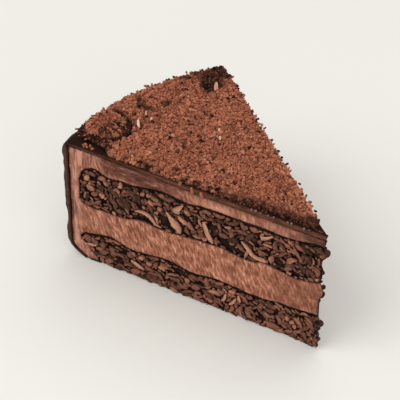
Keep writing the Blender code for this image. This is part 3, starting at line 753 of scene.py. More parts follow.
def scatter(base, centres, axes, sizes, rng, swell, bend=0.0):
    """Points and triangles of uneven copies of a ball.

    axes are three arrays of directions and sizes the half lengths along them.
    """
    points, faces = base
    count = len(centres)
    waves = rng.normal(0, 1.5, (count, 3, 3))
    phases = rng.uniform(0, 2 * math.pi, (count, 1, 3))
    grown = 1 + swell * np.sin(np.einsum("mi,nij->nmj", points, waves) + phases).sum(-1)
    local = points[None] * sizes[:, None] * grown[..., None]
    arch = rng.uniform(-bend, bend, (count, 1))
    local[..., 1] += arch * local[..., 0] ** 2 / sizes[:, :1]
    world = np.einsum("nmi,nij->nmj", local, np.stack(axes, 1)) + centres[:, None]
    all_faces = faces[None] + (np.arange(count) * len(points))[:, None, None]
    return world.reshape(-1, 3), all_faces.reshape(-1, 3).tolist()


class Canvas:
    """A raster of one sponge's cut face that knows which places lumps have taken."""

    CELL = 0.25 * MM
    MARGIN = 0.15 * MM
    ROOM = 4 * MM

    def __init__(self, layer, face):
        s = np.arange(layer.start - self.ROOM, RADIUS + self.ROOM, self.CELL)
        z = np.arange(-self.ROOM, layer.top(s, face.share).max() + self.ROOM, self.CELL)
        self.s, self.z = np.meshgrid(s, z, indexing="ij")
        above = self.z > layer.bottom(self.s, face.share) + self.MARGIN
        below = self.z < layer.top(self.s, face.share) - self.MARGIN
        ahead = (self.s > layer.start + self.MARGIN) & (self.s < RADIUS + tip_shift(self.z))
        self.inside = above & below & ahead & (layer.in_hollow(self.s, self.z, face) <= 0)
        self.taken = np.zeros_like(self.inside)

    def free_places(self, rng, count):
        """Random free places, as (s, z)."""
        spots = np.argwhere(self.inside & ~self.taken)
        if not len(spots):
            return np.zeros((0, 2))
        chosen = spots[rng.integers(0, len(spots), count)]
        return np.stack((self.s[tuple(chosen.T)], self.z[tuple(chosen.T)]), -1)

    def take(self, s, z, angle, length, width, most_overlap, most_outside):
        """Takes a lump's ellipse where it fits, and says whether it did."""
        i = int((s - self.s[0, 0]) / self.CELL)
        j = int((z - self.z[0, 0]) / self.CELL)
        reach = int(length / 2 / self.CELL) + 1
        window = (slice(max(i - reach, 0), i + reach + 1), slice(max(j - reach, 0), j + reach + 1))
        ds, dz = self.s[window] - s, self.z[window] - z
        u = ds * math.cos(angle) + dz * math.sin(angle)
        v = dz * math.cos(angle) - ds * math.sin(angle)
        covered = (2 * u / length) ** 2 + (2 * v / width) ** 2 < 1
        count = covered.sum()
        if not count or (covered & ~self.inside[window]).sum() > most_outside * count:
            return False
        if (covered & self.taken[window]).sum() > most_overlap * count:
            return False
        self.taken[window] |= covered
        return True


# Kinds of lump: tries, length and width as shares of the largest, most overlap, most outside
LUMP_KINDS = (
    (300, (0.72, 1.05), (0.62, 1.0), 0.06, 0.02),
    (900, (0.5, 0.78), (0.5, 0.85), 0.08, 0.03),
    (1500, (0.32, 0.52), (0.42, 0.66), 0.10, 0.05),
    (1700, (0.18, 0.32), (0.32, 0.46), 0.12, 0.10),
)
BATCH = 60


def pack_lumps(layer, face, settings, rng):
    """Fills a sponge's cut face with lumps round its chips: rows of s, z, angle, length, width, tone."""
    canvas = Canvas(layer, face)
    rows = []
    for s, z, length, width, lean, tone in layer.chips if face.side < 0 else ():
        row = (s * MM, z * MM, math.radians(lean), length * MM, width * MM)
        canvas.take(*row, 1.0, 1.0)
        rows.append((*row, tone))
    for stations in SLIVERS if face.side < 0 else ():
        for s, z, width in smooth_path(stations, 4) * MM:
            canvas.take(s, z, 0.0, 0.9 * width, 0.9 * width, 1.0, 1.0)
    for tries, lengths, widths, overlap, outside in LUMP_KINDS:
        for _ in range(tries // BATCH):
            for s, z in canvas.free_places(rng, BATCH):
                length = rng.uniform(*lengths) * settings.lump_length
                width = rng.uniform(*widths) * settings.lump_width
                to_edge = min(layer.top(s, face.share) - z, z - layer.bottom(s, face.share))
                flow = 1.1 * noise.noise(Vector((s, z, layer.seed)) / (9 * MM)) - 0.3
                angle = rng.normal(-0.1, 0.25) if to_edge < width else rng.normal(flow, 0.6)
                if canvas.take(s, z, angle, length, width, overlap, outside):
                    rows.append((s, z, angle, length, width, -1))
    return np.array(rows)


def lump_tones(layer, face, rows, rng):
    """Tone of each lump, from 0 dark to 1 pale: mostly dark brown, with paler ones in patches."""
    s, z = rows[:, 0], rows[:, 1]
    count = len(rows)
    patches = noise_at(s, z, layer.seed * face.side * MM, 7 * MM)
    tones = rng.normal(0.43 if layer is UPPER else 0.5, 0.14, count) + 0.12 * patches
    tones += 0.1 * ease(0.035, 0.06, s) * rng.random(count)
    bright = rng.random(count) < 0.06
    tones = np.where(bright, rng.uniform(0.7, 0.95, count), np.minimum(tones, 0.72))
    return np.clip(np.where(rows[:, 5] >= 0, rows[:, 5], tones), 0.05, 1.0)


# Rings of a torn lump, as (share of its outline, height, painted shade): light on its flat top, dark down
# its sides
LUMP_RINGS = (
    (0.5, 0.64, 0.0), (0.8, 0.6, 0.06), (0.96, 0.36, 0.62), (1.0, 0.0, 0.95), (0.9, -0.45, 1.0),
)

# Height of a lump's flat top over its thickness, corners of its outline, how many torn lumps there
# are to copy, and the least share of round ones on a face
LUMP_TOP = 0.62
LUMP_SIDES = 14
TORN_LUMPS = 8
ROUND_SHARE = 0.12


def torn_lump(rng):
    """A lump with an angular outline and a flat top: points, triangles and each point's painted shade."""
    turn = 2 * math.pi * np.arange(LUMP_SIDES) / LUMP_SIDES
    away = np.cos(turn[:, None] - rng.uniform(0, 2 * math.pi, 5))
    reach = np.where(away > 0.05, rng.uniform(0.6, 0.95, 5) / np.maximum(away, 0.05), 1).min(1)
    rim = np.stack((np.cos(turn), np.sin(turn)), -1) * np.minimum(reach, 1)[:, None]
    points, dark = [(0, 0, 0.66)], [0.0]
    for share, height, shade in LUMP_RINGS:
        lift = height + rng.uniform(-0.07, 0.07, LUMP_SIDES)
        points += np.column_stack((rim * share, lift)).tolist()
        dark += [shade] * LUMP_SIDES
    points.append((0, 0, -0.8))
    dark.append(1.0)
    here = np.arange(LUMP_SIDES)
    after = np.roll(here, -1)
    faces = [np.column_stack((np.zeros_like(here), 1 + here, 1 + after))]
    for ring in range(len(LUMP_RINGS) - 1):
        a, b = 1 + ring * LUMP_SIDES, 1 + (ring + 1) * LUMP_SIDES
        faces.append(np.column_stack((a + here, b + here, b + after)))
        faces.append(np.column_stack((a + here, b + after, a + after)))
    last = 1 + (len(LUMP_RINGS) - 1) * LUMP_SIDES
    faces.append(np.column_stack((np.full_like(here, len(points) - 1), last + after, last + here)))
    return np.array(points, float), np.concatenate(faces), np.array(dark)


def round_lump():
    """A rounder lump: points, triangles and each point's painted shade, darker where it faces away from the
    cut.
    """
    points, faces = ball(2)
    return points, faces, 0.9 - 0.9 * ease(0.05, 0.68, points[:, 2])


def sponge_lumps(layer, settings, material):
    """The torn lumps on both cut faces of a sponge layer."""
    rng = np.random.default_rng(layer.seed)
    bases = [round_lump()] + [torn_lump(rng) for _ in range(TORN_LUMPS)]
    bundle = Bundle()
    for face in (NEAR, FAR):
        rows = pack_lumps(layer, face, settings, rng)
        own_tones = lump_tones(layer, face, rows, rng)
        kinds = rng.integers(0, len(bases), len(rows))
        kinds[rng.random(len(rows)) < ROUND_SHARE] = 0
        for kind, (base_points, base_faces, dark) in enumerate(bases):
            s, z, angle, length, width, _ = rows[kinds == kind].T
            count = len(s)
            half_wedge = (RADIUS - s) * math.tan(HALF_ANGLE)
            thick = width * rng.uniform(0.45, 0.7, count)
            out = rng.normal(0.05, 0.25, count) * MM - 0.8 * MM * (1 - ease(0, 4 * MM, z))
            out = np.maximum(out - LUMP_TOP * thick, -0.8 * half_wedge)
            along, up = turned(np.tile(face.along, (count, 1)), np.tile(UP, (count, 1)), angle)
            outward = np.tile(face.out, (count, 1))
            along, outward = turned(along, outward, rng.normal(0, 0.14, count))
            up, outward = turned(up, outward, rng.normal(0, 0.2, count))
            sizes = np.stack((length * 0.57, width * 0.62, thick), -1)
            base, axes = (base_points, base_faces), (along, up, outward)
            made, its_faces = scatter(base, face.point(s, z, out), axes, sizes, rng, 0.05, 0.42)
            made[:, 2] = np.maximum(made[:, 2], 0.0)
            tone = np.repeat(own_tones[kinds == kind], len(base_points))
            # Each lump's painted shade, taken from its rings
            bundle.add(made, its_faces, shade=np.tile(dark, count), tone=tone)
    bundle.piece(layer.node + "_lumps", material, "sponge")


def make_tip_nubs(material):
    """Dark nubs that stick out behind the torn tip."""
    rng = np.random.default_rng(17)
    z, radius = np.array(TIP_NUBS).T * MM
    nub = rng.integers(0, len(z), SMALL_NUBS)
    z = np.concatenate((z, np.abs(z[nub] + rng.normal(0, 1.5, SMALL_NUBS) * MM)))
    radius = np.concatenate((radius, rng.uniform(0.35, 0.75, SMALL_NUBS) * MM))
    count = len(z)
    centres = FAR.point(RADIUS - rng.uniform(0.9, 2.0, count) * MM, z, 0.5 * MM)
    centres[:, 0] += tip_shift(z) * 0.6
    sizes = radius[:, None] * rng.uniform(0.75, 1.2, (count, 3))
    base = ball(3)
    points, faces = scatter(base, centres, random_turns(count, rng), sizes, rng, 0.12)
    points[:, 2] = np.maximum(points[:, 2], 0.0)
    tone = rng.uniform(0.15, 0.45, count)
    # Nubs by the mousse take more painted shade than those by the sponges
    by_mousse = (z > LOWER_LEVELS[0]) & (z < UPPER_LEVELS[1] + 7 * MM)
    bundle = Bundle()
    bundle.add_copies(base, (points, faces), tone=tone, shade=np.where(by_mousse, 0.8, 0.3))
    bundle.piece("tip_nubs", material, "sponge")


def shell_of_lattice(counts, position):
    """Closed quad surface of a block with that many cells along i, j and k."""
    lattice = np.stack(np.meshgrid(*(np.arange(n + 1) for n in counts), indexing="ij"), -1)
    outer = ((lattice == 0) | (lattice == np.array(counts))).any(-1)
    index = np.full(outer.shape, -1)
    index[outer] = np.arange(outer.sum())
    faces = []
    for axis in range(3):
        for end in (0, -1):
            grid = np.take(index, end, axis)
            quads = np.stack((grid[:-1, :-1], grid[1:, :-1], grid[1:, 1:], grid[:-1, 1:]), -1)
            faces += quads.reshape(-1, 4).tolist()
    return position(*lattice[outer].T), faces


def sponge_ground(layer, settings, material):
    """The dark ground of a sponge layer, behind the lumps of its cut faces, under painted shade."""
    rows = round((layer.levels[0] - layer.levels[1]) / GROUND_CELL)
    last = RADIUS - 1.4 * MM

    def position(i, j, k):
        """Points of the lattice, with both cut faces sunk behind the lumps."""
        s = layer.start + (last - layer.start) * i / GROUND_COLUMNS
        share = 1 + (FAR_FACE_SHARE - 1) * k / GROUND_TURNS
        low, high = layer.bottom(s, share), layer.top(s, share)
        z = low + (high - low) * j / rows
        points = place(s, z, HALF_ANGLE * (2 * k / GROUND_TURNS - 1))
        for face, end in ((NEAR, 0), (FAR, GROUND_TURNS)):
            here = k == end
            lumps = smooth_noise(points[here] + face.side, 1.6 * MM)
            depth = settings.recess + 0.55 * MM * lumps
            depth += 3.2 * MM * ease(0, 0.7, layer.in_hollow(s[here], z[here], face, 0.4 * MM))
            most = 0.7 * (RADIUS - s[here]) * math.tan(HALF_ANGLE)
            points[here] -= np.clip(depth, 0.2 * MM, most)[:, None] * face.out
        return points

    points, faces = shell_of_lattice((GROUND_COLUMNS, rows, GROUND_TURNS), position)
    tones = 0.3 + 0.2 * smooth_noise(points, 1.3 * MM)
    # Painted shade over the ground, which shows in the crevices between the lumps and in the hollows
    shade = 0.72 + 0.25 * smooth_noise(points, 2.5 * MM)
    attributes = {"shade": np.clip(shade, 0.3, 1), "tone": np.clip(tones, 0.02, 0.6)}
    ground = add_piece(layer.node + "_ground", points, faces, material, attributes)
    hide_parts(layer.node)


def smooth_path(stations, steps):
    """Stations along a smooth path through the given ones."""
    stations = np.array(stations, float)
    before, after = 2 * stations[:1] - stations[1:2], 2 * stations[-1:] - stations[-2:-1]
    ends = np.concatenate((before, stations, after))
    path = []
    for i in range(1, len(ends) - 2):
        for t in np.arange(steps) / steps:
            p0, p1, p2, p3 = ends[i - 1 : i + 3]
            path.append(0.5 * (
                2 * p1 + (p2 - p0) * t + (2 * p0 - 5 * p1 + 4 * p2 - p3) * t * t
                + (3 * p1 - p0 - 3 * p2 + p3) * t ** 3
            ))
    path.append(ends[-2])
    return np.array(path)


def sliver(stations, rng):
    """A curled sliver through stations on the near face: points, faces, painted shade and tone."""
    route = smooth_path(stations, 5) * MM + (0.3 * MM, 0.7 * MM, 0.0)
    count, sides = len(route), 12
    share = np.arange(count) / (count - 1)
    step = unit(np.gradient(route[:, :2], axis=0))
    across = np.stack((-step[:, 1], step[:, 0]), -1)
    half = np.maximum(0.46 * route[:, 2], 0.2 * MM) * rng.uniform(0.88, 1.12, count)
    arch = (0.2 + 0.45 * np.sin(math.pi * share)) * MM
    points, shade, tone = [], [], []
    for turn in np.arange(sides) * 2 * math.pi / sides:
        side, deep = math.cos(turn), math.sin(turn)
        spot = route[:, :2] + across * (half * side)[:, None]
        lift = arch + deep * 0.34 * MM + side * side * half * 0.16
        points.append(NEAR.point(spot[:, 0], spot[:, 1], lift))
        # Painted shade along the edges and underneath; the tone is pale on one side and brown on the other,
        # as painted highlight and shade
        shade.append(np.full(count, 0.85 * side ** 6 if deep > -0.2 else 0.9))
        tone.append(0.42 + 0.55 * side * np.sin(2.4 * share + len(stations)))
    points = np.stack(points, 1).reshape(-1, 3)
    faces = []
    for i in range(count - 1):
        for k in range(sides):
            after = (k + 1) % sides
            faces.append([i * sides + k, i * sides + after, (i + 1) * sides + after, (i + 1) * sides + k])
    faces.append(list(range(sides)))
    faces.append([(count - 1) * sides + k for k in range(sides)])
    return points, faces, np.stack(shade, 1).ravel(), np.stack(tone, 1).ravel()


def make_slivers(settings):
    """The pale slivers on the near face, as one piece."""
    rng = np.random.default_rng(21)
    bundle = Bundle()
    for stations in SLIVERS:
        points, faces, shade, tone = sliver(stations, rng)
        bundle.add(points, faces, shade=shade, tone=np.clip(tone, 0, 1))
    bundle.piece("sponge_slivers", sliver_material(settings), "sponge")


def within(outline, points):
    """Which plan points lie inside a closed outline."""
    a, b = outline, np.roll(outline, -1, axis=0)
    x, y = points[:, :1], points[:, 1:]
    crosses = (a[:, 1] > y) != (b[:, 1] > y)
    rise = np.where(b[:, 1] == a[:, 1], 1e-12, b[:, 1] - a[:, 1])
    at = a[:, 0] + (y - a[:, 1]) / rise * (b[:, 0] - a[:, 0])
    return (crosses & (x < at)).sum(1) % 2 == 1


def distance_to(outline, points):
    """Distance of each plan point to a closed outline."""
    nearest = np.full(len(points), np.inf)
    for a, b in zip(outline, np.roll(outline, -1, axis=0)):
        line = b - a
        share = np.clip((points - a) @ line / max(line @ line, 1e-12), 0, 1)
        nearest = np.minimum(nearest, np.linalg.norm(points - a - share[:, None] * line, axis=1))
    return nearest


def filled(outline, spacing, rng):
    """Points and triangles that fill an outline, its own points first, and each one's inset."""
    low, high = outline.min(0), outline.max(0)
    row = spacing * math.sqrt(3) / 2
    j, i = np.meshgrid(
        np.arange(int((high[1] - low[1]) / row) + 1), np.arange(int((high[0] - low[0]) / spacing) + 1),
    )
    grid = np.stack((low[0] + (i + 0.5 * (j % 2)) * spacing, low[1] + j * row), -1).reshape(-1, 2)
    grid += rng.uniform(-0.22, 0.22, grid.shape) * spacing
    grid = grid[within(outline, grid)]
    inset = distance_to(outline, grid)
    keep = inset > 0.5 * spacing
    border = [list(range(len(outline)))]
    flat = [Vector(point) for point in np.concatenate((outline, grid[keep]))]
    made, _, faces, _, _, _ = delaunay_2d_cdt(flat, [], border, 1, 1e-8)
    if len(made) != len(flat):
        raise RuntimeError("an outline crosses itself")
    return np.array(made), faces, np.concatenate((np.zeros(len(outline)), inset[keep]))


def foot_line(depth_at):
    """The rim's foot from its top down to where the glaze ends, moved into the cake."""
    start, pull, end = (np.array(point) for point in (FOOT_START, FOOT_PULL, FOOT_END))
    line = []
    for down in np.arange(FOOT_STEPS + 1) / FOOT_STEPS:
        t = GLAZE_FOOT_SHARE * down
        point = (1 - t) ** 2 * start + 2 * (1 - t) * t * pull + t * t * end
        slope = (1 - t) * (pull - start) + t * (end - pull)
        slope /= np.linalg.norm(slope)
        line.append(point + np.array((-slope[1], slope[0])) * depth_at(down))
    return np.array(line)


def side_thickness(down):
    """Thickness of the glaze at a share of the way down the foot."""
    return GLAZE_SIDE_THICKNESS + (GLAZE_FOOT_THICKNESS - GLAZE_SIDE_THICKNESS) * down


def glaze_underside(s):
    """Height of the underside of the glaze's top, which is thickest towards the tip."""
    thicker = GLAZE_TOP_THICKNESS - GLAZE_RIM_THICKNESS
    return GLAZE_TOP - GLAZE_RIM_THICKNESS - thicker * ease(*GLAZE_THICKENS_OVER, s)


def line_points(start, end):
    """Distances from the start to the end, about evenly spaced."""
    return np.linspace(start, end, max(2, round(abs(end - start) / LINE_SPACING) + 1))


def columns(layer):
    """Distances from the rim of a sponge's columns, closer together at its rounded end."""
    end = layer.start + 6 * MM
    return np.concatenate((np.linspace(layer.start, end, 13)[:-1], line_points(end, RADIUS)))


def sponge_outline(layer, share):
    """A sponge's outline, from the tip back along its top, down its end and out along its foot."""
    s = columns(layer)
    over = np.stack((s[::-1], layer.top(s[::-1], share)), -1)
    under = np.stack((s, layer.bottom(s, share)), -1)
    z = line_points(over[-1, 1], under[0, 1])[1:-1]
    return np.concatenate((over, np.stack((np.full(len(z), s[0]), z), -1), under))


def around(outline):
    """The outline moved out by the gap between neighbouring layers."""
    ahead = np.concatenate((outline[1:], outline[-1:]))
    behind = np.concatenate((outline[:1], outline[:-1]))
    step = unit(ahead - behind)
    out = np.stack((step[:, 1], -step[:, 0]), -1) * GAP
    out[[0, -1], 0] = 0
    return outline + out


def mousse_section(share):
    """Outline of the mousse: a wall at the rim, an arm over and an arm under the upper sponge."""
    foot = foot_line(lambda down: side_thickness(down) + GAP)[::-1]
    wall_z = line_points(foot[-1, 1], glaze_underside(GLAZE_SIDE_THICKNESS) - GAP)[1:-1]
    wall = np.stack((np.full(len(wall_z), foot[-1, 0]), wall_z), -1)
    s = line_points(GLAZE_SIDE_THICKNESS + GAP, RADIUS)
    top = np.stack((s, glaze_underside(s) - GAP), -1)
    on_the_floor = (columns(LOWER) > LOWER_BOTTOM[-1][0] - 5 * GAP).sum()
    lower = around(sponge_outline(LOWER, share))[:-on_the_floor]
    floor = [(LOWER_BOTTOM[-1][0] - 3 * GAP, 0.0), (FOOT_END[0] + GLAZE_FOOT_THICKNESS, 0.0)]
    return np.concatenate((foot, wall, top, around(sponge_outline(UPPER, share)), lower, floor))


def swept(section, turns, rng, spacing, relief):
    """A section turned about the tip's axis, with filled and modelled cut faces.

    relief gives how far a cut face's points stand out, from (face, s, z, inset).
    It returns points, faces, places as (s, z, side) and each one's inset, 1 mm off the cuts.
    """
    angles = np.linspace(-HALF_ANGLE, HALF_ANGLE, turns + 1)
    shares = np.linspace(1, FAR_FACE_SHARE, turns + 1)
    rings = [section(share) for share in shares]
    size = len(rings[0])
    points = [place(ring[:, 0], ring[:, 1], angle) for ring, angle in zip(rings, angles)]
    places = [np.column_stack((ring, np.full(size, k * MM))) for k, ring in enumerate(rings)]
    insets = [np.where(ring[:, 0] < RADIUS - 1 * MM, 0.0, 1 * MM) for ring in rings]
    faces = []
    for k in range(turns):
        for i in range(size):
            a, b = k * size + (i - 1) % size, k * size + i
            faces.append([a, b, b + size, a + size])
    for face, k in ((NEAR, 0), (FAR, turns)):
        flat, triangles, inset = filled(rings[k], spacing, rng)
        s, z = flat.T
        out = relief(face, s, z, inset)
        out = np.where(s > RADIUS - 0.5 * MM, 0.0, out)
        made = face.point(s, z, out)
        points[k] = made[:size]
        insets[k] = inset[:size]
        start = sum(len(part) for part in points)
        number = np.concatenate((k * size + np.arange(size), start + np.arange(len(made) - size)))
        faces += [[int(number[i]) for i in triangle] for triangle in triangles]
        points.append(made[size:])
        places.append(np.column_stack((s, z, np.full(len(s), face.side * MM)))[size:])
        insets.append(inset[size:])
    return np.concatenate(points), faces, np.concatenate(places), np.concatenate(insets)


def tip_shift(z):
    """How far the torn tip stands out at each height."""
    height, reach = np.array(TIP_EDGE).T * MM
    return np.interp(z, height, reach) - RADIUS


def towards_tip(s, z):
    """How far points near the tip move along X to follow its torn edge."""
    return tip_shift(z) * ease(RADIUS - 5 * MM, RADIUS, s)


def mousse_looks(places, insets):
    """Where the mousse takes painted highlight, painted shade by the glaze and its ends, or painted shade
    in its creases, from its points' places and insets.
    """
    s, z = places[:, 0], places[:, 1]

    # A painted highlight: a pale band by the rim, wider above the upper sponge and at the foot
    reach = (6.6 + 8 * ease(0.049, 0.053, z) + 3 * (1 - ease(0.004, 0.010, z))) * MM
    pale = 1 - ease(reach - 1.6 * MM, reach + 1.6 * MM, s)

    # Painted shade in streaks above the upper sponge, beside the glaze on the rim and by the tip
    above = ease(0.0485, 0.052, z) * ease(0.014, 0.020, s)
    height = np.clip((z - 0.0500) / (glaze_underside(s) - 0.0500), 0, 1)
    sides = (2 * height - 1) ** 2
    dusk = 0.95 * above * (1 - ease(0.045, 0.062, s) * (1 - 0.9 * sides))
    by_skin = 1 - ease(1.0 * MM, 2.6 * MM, s - GLAZE_SIDE_THICKNESS)
    ends = 0.2 * (1 - ease(0.012, 0.034, s)) + 0.42 * ease(0.084, 0.106, s)
    ends += 0.5 * ease(0.098, 0.110, s) * ease(0.0485, 0.052, z)
    dusk = np.maximum(dusk, np.maximum(0.95 * by_skin * (z > 0.008), ends))

    # Painted shade in a crease along the edges, and a dark foot
    deep = (1 - ease(0.0, 0.6 * MM, insets)) * (1 - ease(0.02, 0.05, s) * (z > 0.055))
    deep = np.maximum(deep, (1 - ease(1.3 * MM, 2.2 * MM, z)) * (s < 0.02))
    # More painted highlight along the middle of the band above the upper sponge, towards the tip
    pale = np.maximum(0.95 * pale, 0.6 * above * ease(0.056, 0.070, s) * (1 - sides))
    return {"cut_place": places, "pale": pale, "dusk": np.clip(dusk, 0, 1), "deep": deep}


def make_mousse(settings):
    """Mousse round both sponges, with knife marks on its cut faces."""
    rng = np.random.default_rng(3)
    lean = math.radians(KNIFE_SLANT)

    def relief(face, s, z, inset):
        """Knife marks, broad waves and a crease along the edges."""
        u = s * math.cos(lean) + z * math.sin(lean)
        v = z * math.cos(lean) - s * math.sin(lean)
        marks = noise_at(u / 5, v, face.side, 1.1 * MM)
        broad = noise_at(s, z, face.side, 6 * MM)
        crease = 0.6 * MM * (1 - ease(0, 0.9 * MM, inset))
        crease *= 1 - 0.7 * (glaze_underside(s) - z < 1 * MM)
        return settings.stroke * marks + 0.3 * MM * broad - crease

    points, faces, places, insets = swept(mousse_section, MOUSSE_TURNS, rng, MOUSSE_SPACING, relief)
    points[:, 0] += towards_tip(places[:, 0], places[:, 1])
    looks = mousse_looks(places, insets)
    mousse = add_piece("mousse_body", points, faces, mousse_material(settings), looks)
    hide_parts("mousse")


def glaze_section(_share):
    """Outline of the glaze: up the outside, over the top, back underneath and down the inside."""
    outside = foot_line(lambda down: 0.0)[::-1]
    wall_z = line_points(FOOT_START[1], GLAZE_TOP - SHOULDER_RADIUS)[1:]
    wall = np.stack((np.zeros(len(wall_z)), wall_z), -1)
    turn = np.radians(90) * np.arange(1, 9) / 8
    shoulder = np.stack((
        SHOULDER_RADIUS * (1 - np.cos(turn)), GLAZE_TOP - SHOULDER_RADIUS * (1 - np.sin(turn)),
    ), -1)
    s = line_points(SHOULDER_RADIUS, RADIUS)[1:]
    top = np.stack((s, np.full(len(s), GLAZE_TOP)), -1)
    s = line_points(RADIUS, GLAZE_SIDE_THICKNESS)
    under = np.stack((s, glaze_underside(s)), -1)
    inner_z = line_points(under[-1, 1], FOOT_START[1])[1:-1]
    inner = np.stack((np.full(len(inner_z), GLAZE_SIDE_THICKNESS), inner_z), -1)
    return np.concatenate((outside, wall, shoulder, top, under, inner, foot_line(side_thickness)))


def ripple(points, s, z):
    """Moves the glaze's points to the ripples of its wall and the swell over its near corner.

    It returns their angles about the tip's axis.
    """
    flat = points[:, :2] - (TIP_X, 0)
    reach = np.linalg.norm(flat, axis=1)
    turn = np.arctan2(flat[:, 1], -flat[:, 0])
    from_corner = (turn + HALF_ANGLE) * RADIUS
    corner = 1 - ease(1 * MM, 15 * MM, from_corner)
    skin = 1 - ease(0, 1.8 * MM + 3.5 * MM * ease(0.054, 0.058, z), s)
    out = RIPPLE_DEPTH * (np.sin(z / RIPPLE_LENGTH) - 1)
    out += 0.3 * MM * smooth_noise(points * (0.6, 0.6, 1), 6.5 * MM)
    out += corner * 0.3 * MM * smooth_noise(points, 3.2 * MM)
    out += corner * (0.55 * ease(0.004, 0.012, z) + 0.35 * ease(0.030, 0.050, z)) * MM
    scale = 1 + np.where(reach > 1 * MM, out * skin, 0) / np.maximum(reach, 1 * MM)
    points[:, :2] = (TIP_X, 0) + flat * scale[:, None]
    swell = ease(0, 5 * MM, from_corner) * (1 - ease(8 * MM, 17 * MM, from_corner))
    by_top = ease(-6 * MM, -3 * MM, z - GLAZE_TOP)
    points[:, 2] += 0.8 * MM * swell * by_top * (1 - ease(4 * MM, 10 * MM, s))
    return turn


def cut_shares(turn, s, z, insets):
    """How much each point of the glaze looks cut."""
    cut = (np.abs(turn) > HALF_ANGLE - 0.01) | (s > RADIUS - 3 * MM)
    on_face = np.arange(len(s)) >= (GLAZE_TURNS + 1) * len(glaze_section(1.0))
    share = np.where(cut, np.maximum(on_face, 0.35), 0) * (0.6 + 0.4 * ease(2.5 * MM, 6 * MM, s))
    return share * ease(0.1 * MM, 0.8 * MM, np.where(s < 4 * MM, insets, GLAZE_TOP - z))


def make_glaze(settings):
    """Dark glaze over the top and down the rim, with the ripples that a palette knife leaves."""
    rng = np.random.default_rng(4)

    def relief(face, s, z, inset):
        """Slight waves and a rounded edge."""
        wave = 0.1 * MM * noise_at(s, z, face.side, 4 * MM)
        return wave - 0.22 * MM * (1 - ease(0, 0.5 * MM, inset))

    points, faces, places, insets = swept(glaze_section, GLAZE_TURNS, rng, GLAZE_SPACING, relief)
    s, z = places[:, 0], places[:, 1]
    cut = cut_shares(ripple(points, s, z), s, z, insets)
    points[:, 0] += towards_tip(s, z)
    looks = {"cut": cut, "cut_place": places, "wall": 1 - ease(0.5 * MM, 3 * MM, s)}
    glaze = add_piece("glaze_skin", points, faces, glaze_material(settings), looks)
    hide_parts("glaze")


def inset_line(s, inset, face):
    """Plan points that far from the rim and that far inside a cut face."""
    return face.point(s, 0.0, -np.asarray(inset))[..., :2]


def blanket_outline(rng, jitter):
    """The uneven edge of the crumbs in plan: near edge, rim, then far edge."""
    near_s = line_points(CRUMB_TIP_LIMIT, NEAR_INSET[0][0])
    near = inset_line(near_s, on_line(NEAR_INSET, near_s), NEAR)
    first, last = -HALF_ANGLE + BARE_CORNER, HALF_ANGLE - CRUMB_FAR_INSET / RADIUS
    turn = line_points(first * RADIUS, last * RADIUS) / RADIUS
    rim = place(CRUMB_RIM_INSET, 0.0, turn)[:, :2]
    far_s = line_points(CRUMB_RIM_INSET, CRUMB_TIP_LIMIT)[1:-1]
    far = inset_line(far_s, CRUMB_FAR_INSET, FAR)
    outline = np.concatenate((near, rim, far))
    return outline + rng.uniform(-jitter, jitter, outline.shape)


def clump_radius(turn):
    """The clump's uneven radius in each direction."""
    return CLUMP_RADIUS * (1 + 0.07 * np.sin(3 * turn + 1.0) + 0.04 * np.sin(7 * turn))


def clump_share(points):
    """How much each plan point belongs to the clump, and how much to the groove round it."""
    off = points - CLUMP_PLACE
    turn = np.arctan2(off[:, 1], off[:, 0])
    away = np.linalg.norm(off, axis=1) - clump_radius(turn)
    clump = 1 - ease(-0.5 * CLUMP_RADIUS, 0, away)
    groove = ease(-0.6 * MM, 0.3 * MM, away) * (1 - ease(0.75 * RING_WIDTH, 1.2 * RING_WIDTH, away))
    return clump, groove * (1 - 0.85 * ease(0.6, 0.97, np.cos(turn - CLUMP_OPENS_AT)))


def share_away(points, x, y, radius):
    """Distance of plan points from a place in mm, as a share of a radius in mm."""
    return np.linalg.norm(points - np.array((x, y)) * MM, axis=1) / (radius * MM)


def bed_height(points, settings, edge=None):
    """Height of the crumbs above the glaze at plan points, lower towards their edge."""
    height = settings.depth + 0.42 * MM * noise_at(*points.T, 0.0, 4.5 * MM)
    height += 0.3 * MM * noise_at(*points.T, 0.0, 1.7 * MM)
    for x, y, radius, lift in MOUNDS:
        height += lift * MM * (1 - ease(0, 1, share_away(points, x, y, radius)))
    clump, groove = clump_share(points)
    height += 0.9 * MM * clump
    height *= 1 - 0.85 * groove
    hollow = np.linalg.norm(points - HOLLOW_PLACE, axis=1) / HOLLOW_RADIUS
    height *= 0.4 + 0.6 * ease(0.3, 1.0, hollow)
    if edge is not None:
        height *= 0.35 + 0.65 * ease(0, 2.2 * MM, edge)
    return np.maximum(height, 0.25 * MM)


def darkness(points):
    """How dark the crumbs are at plan points, from 0 to 1."""
    _, groove = clump_share(points)
    off = points - NEAR.start[:2]
    s, depth = off @ NEAR.along[:2], -off @ NEAR.out[:2]
    edge = 1 - ease(0.3 * MM, 3.6 * MM, depth - on_line(NEAR_INSET, s))
    dark = np.maximum(groove, 0.8 * edge * ease(0.060, 0.078, s))
    for x, y, radius, strength in DARK_PATCHES:
        away = share_away(points, x, y, radius)
        dark = np.maximum(dark, strength * (1 - ease(0.45, 1.15, away)))
    return dark


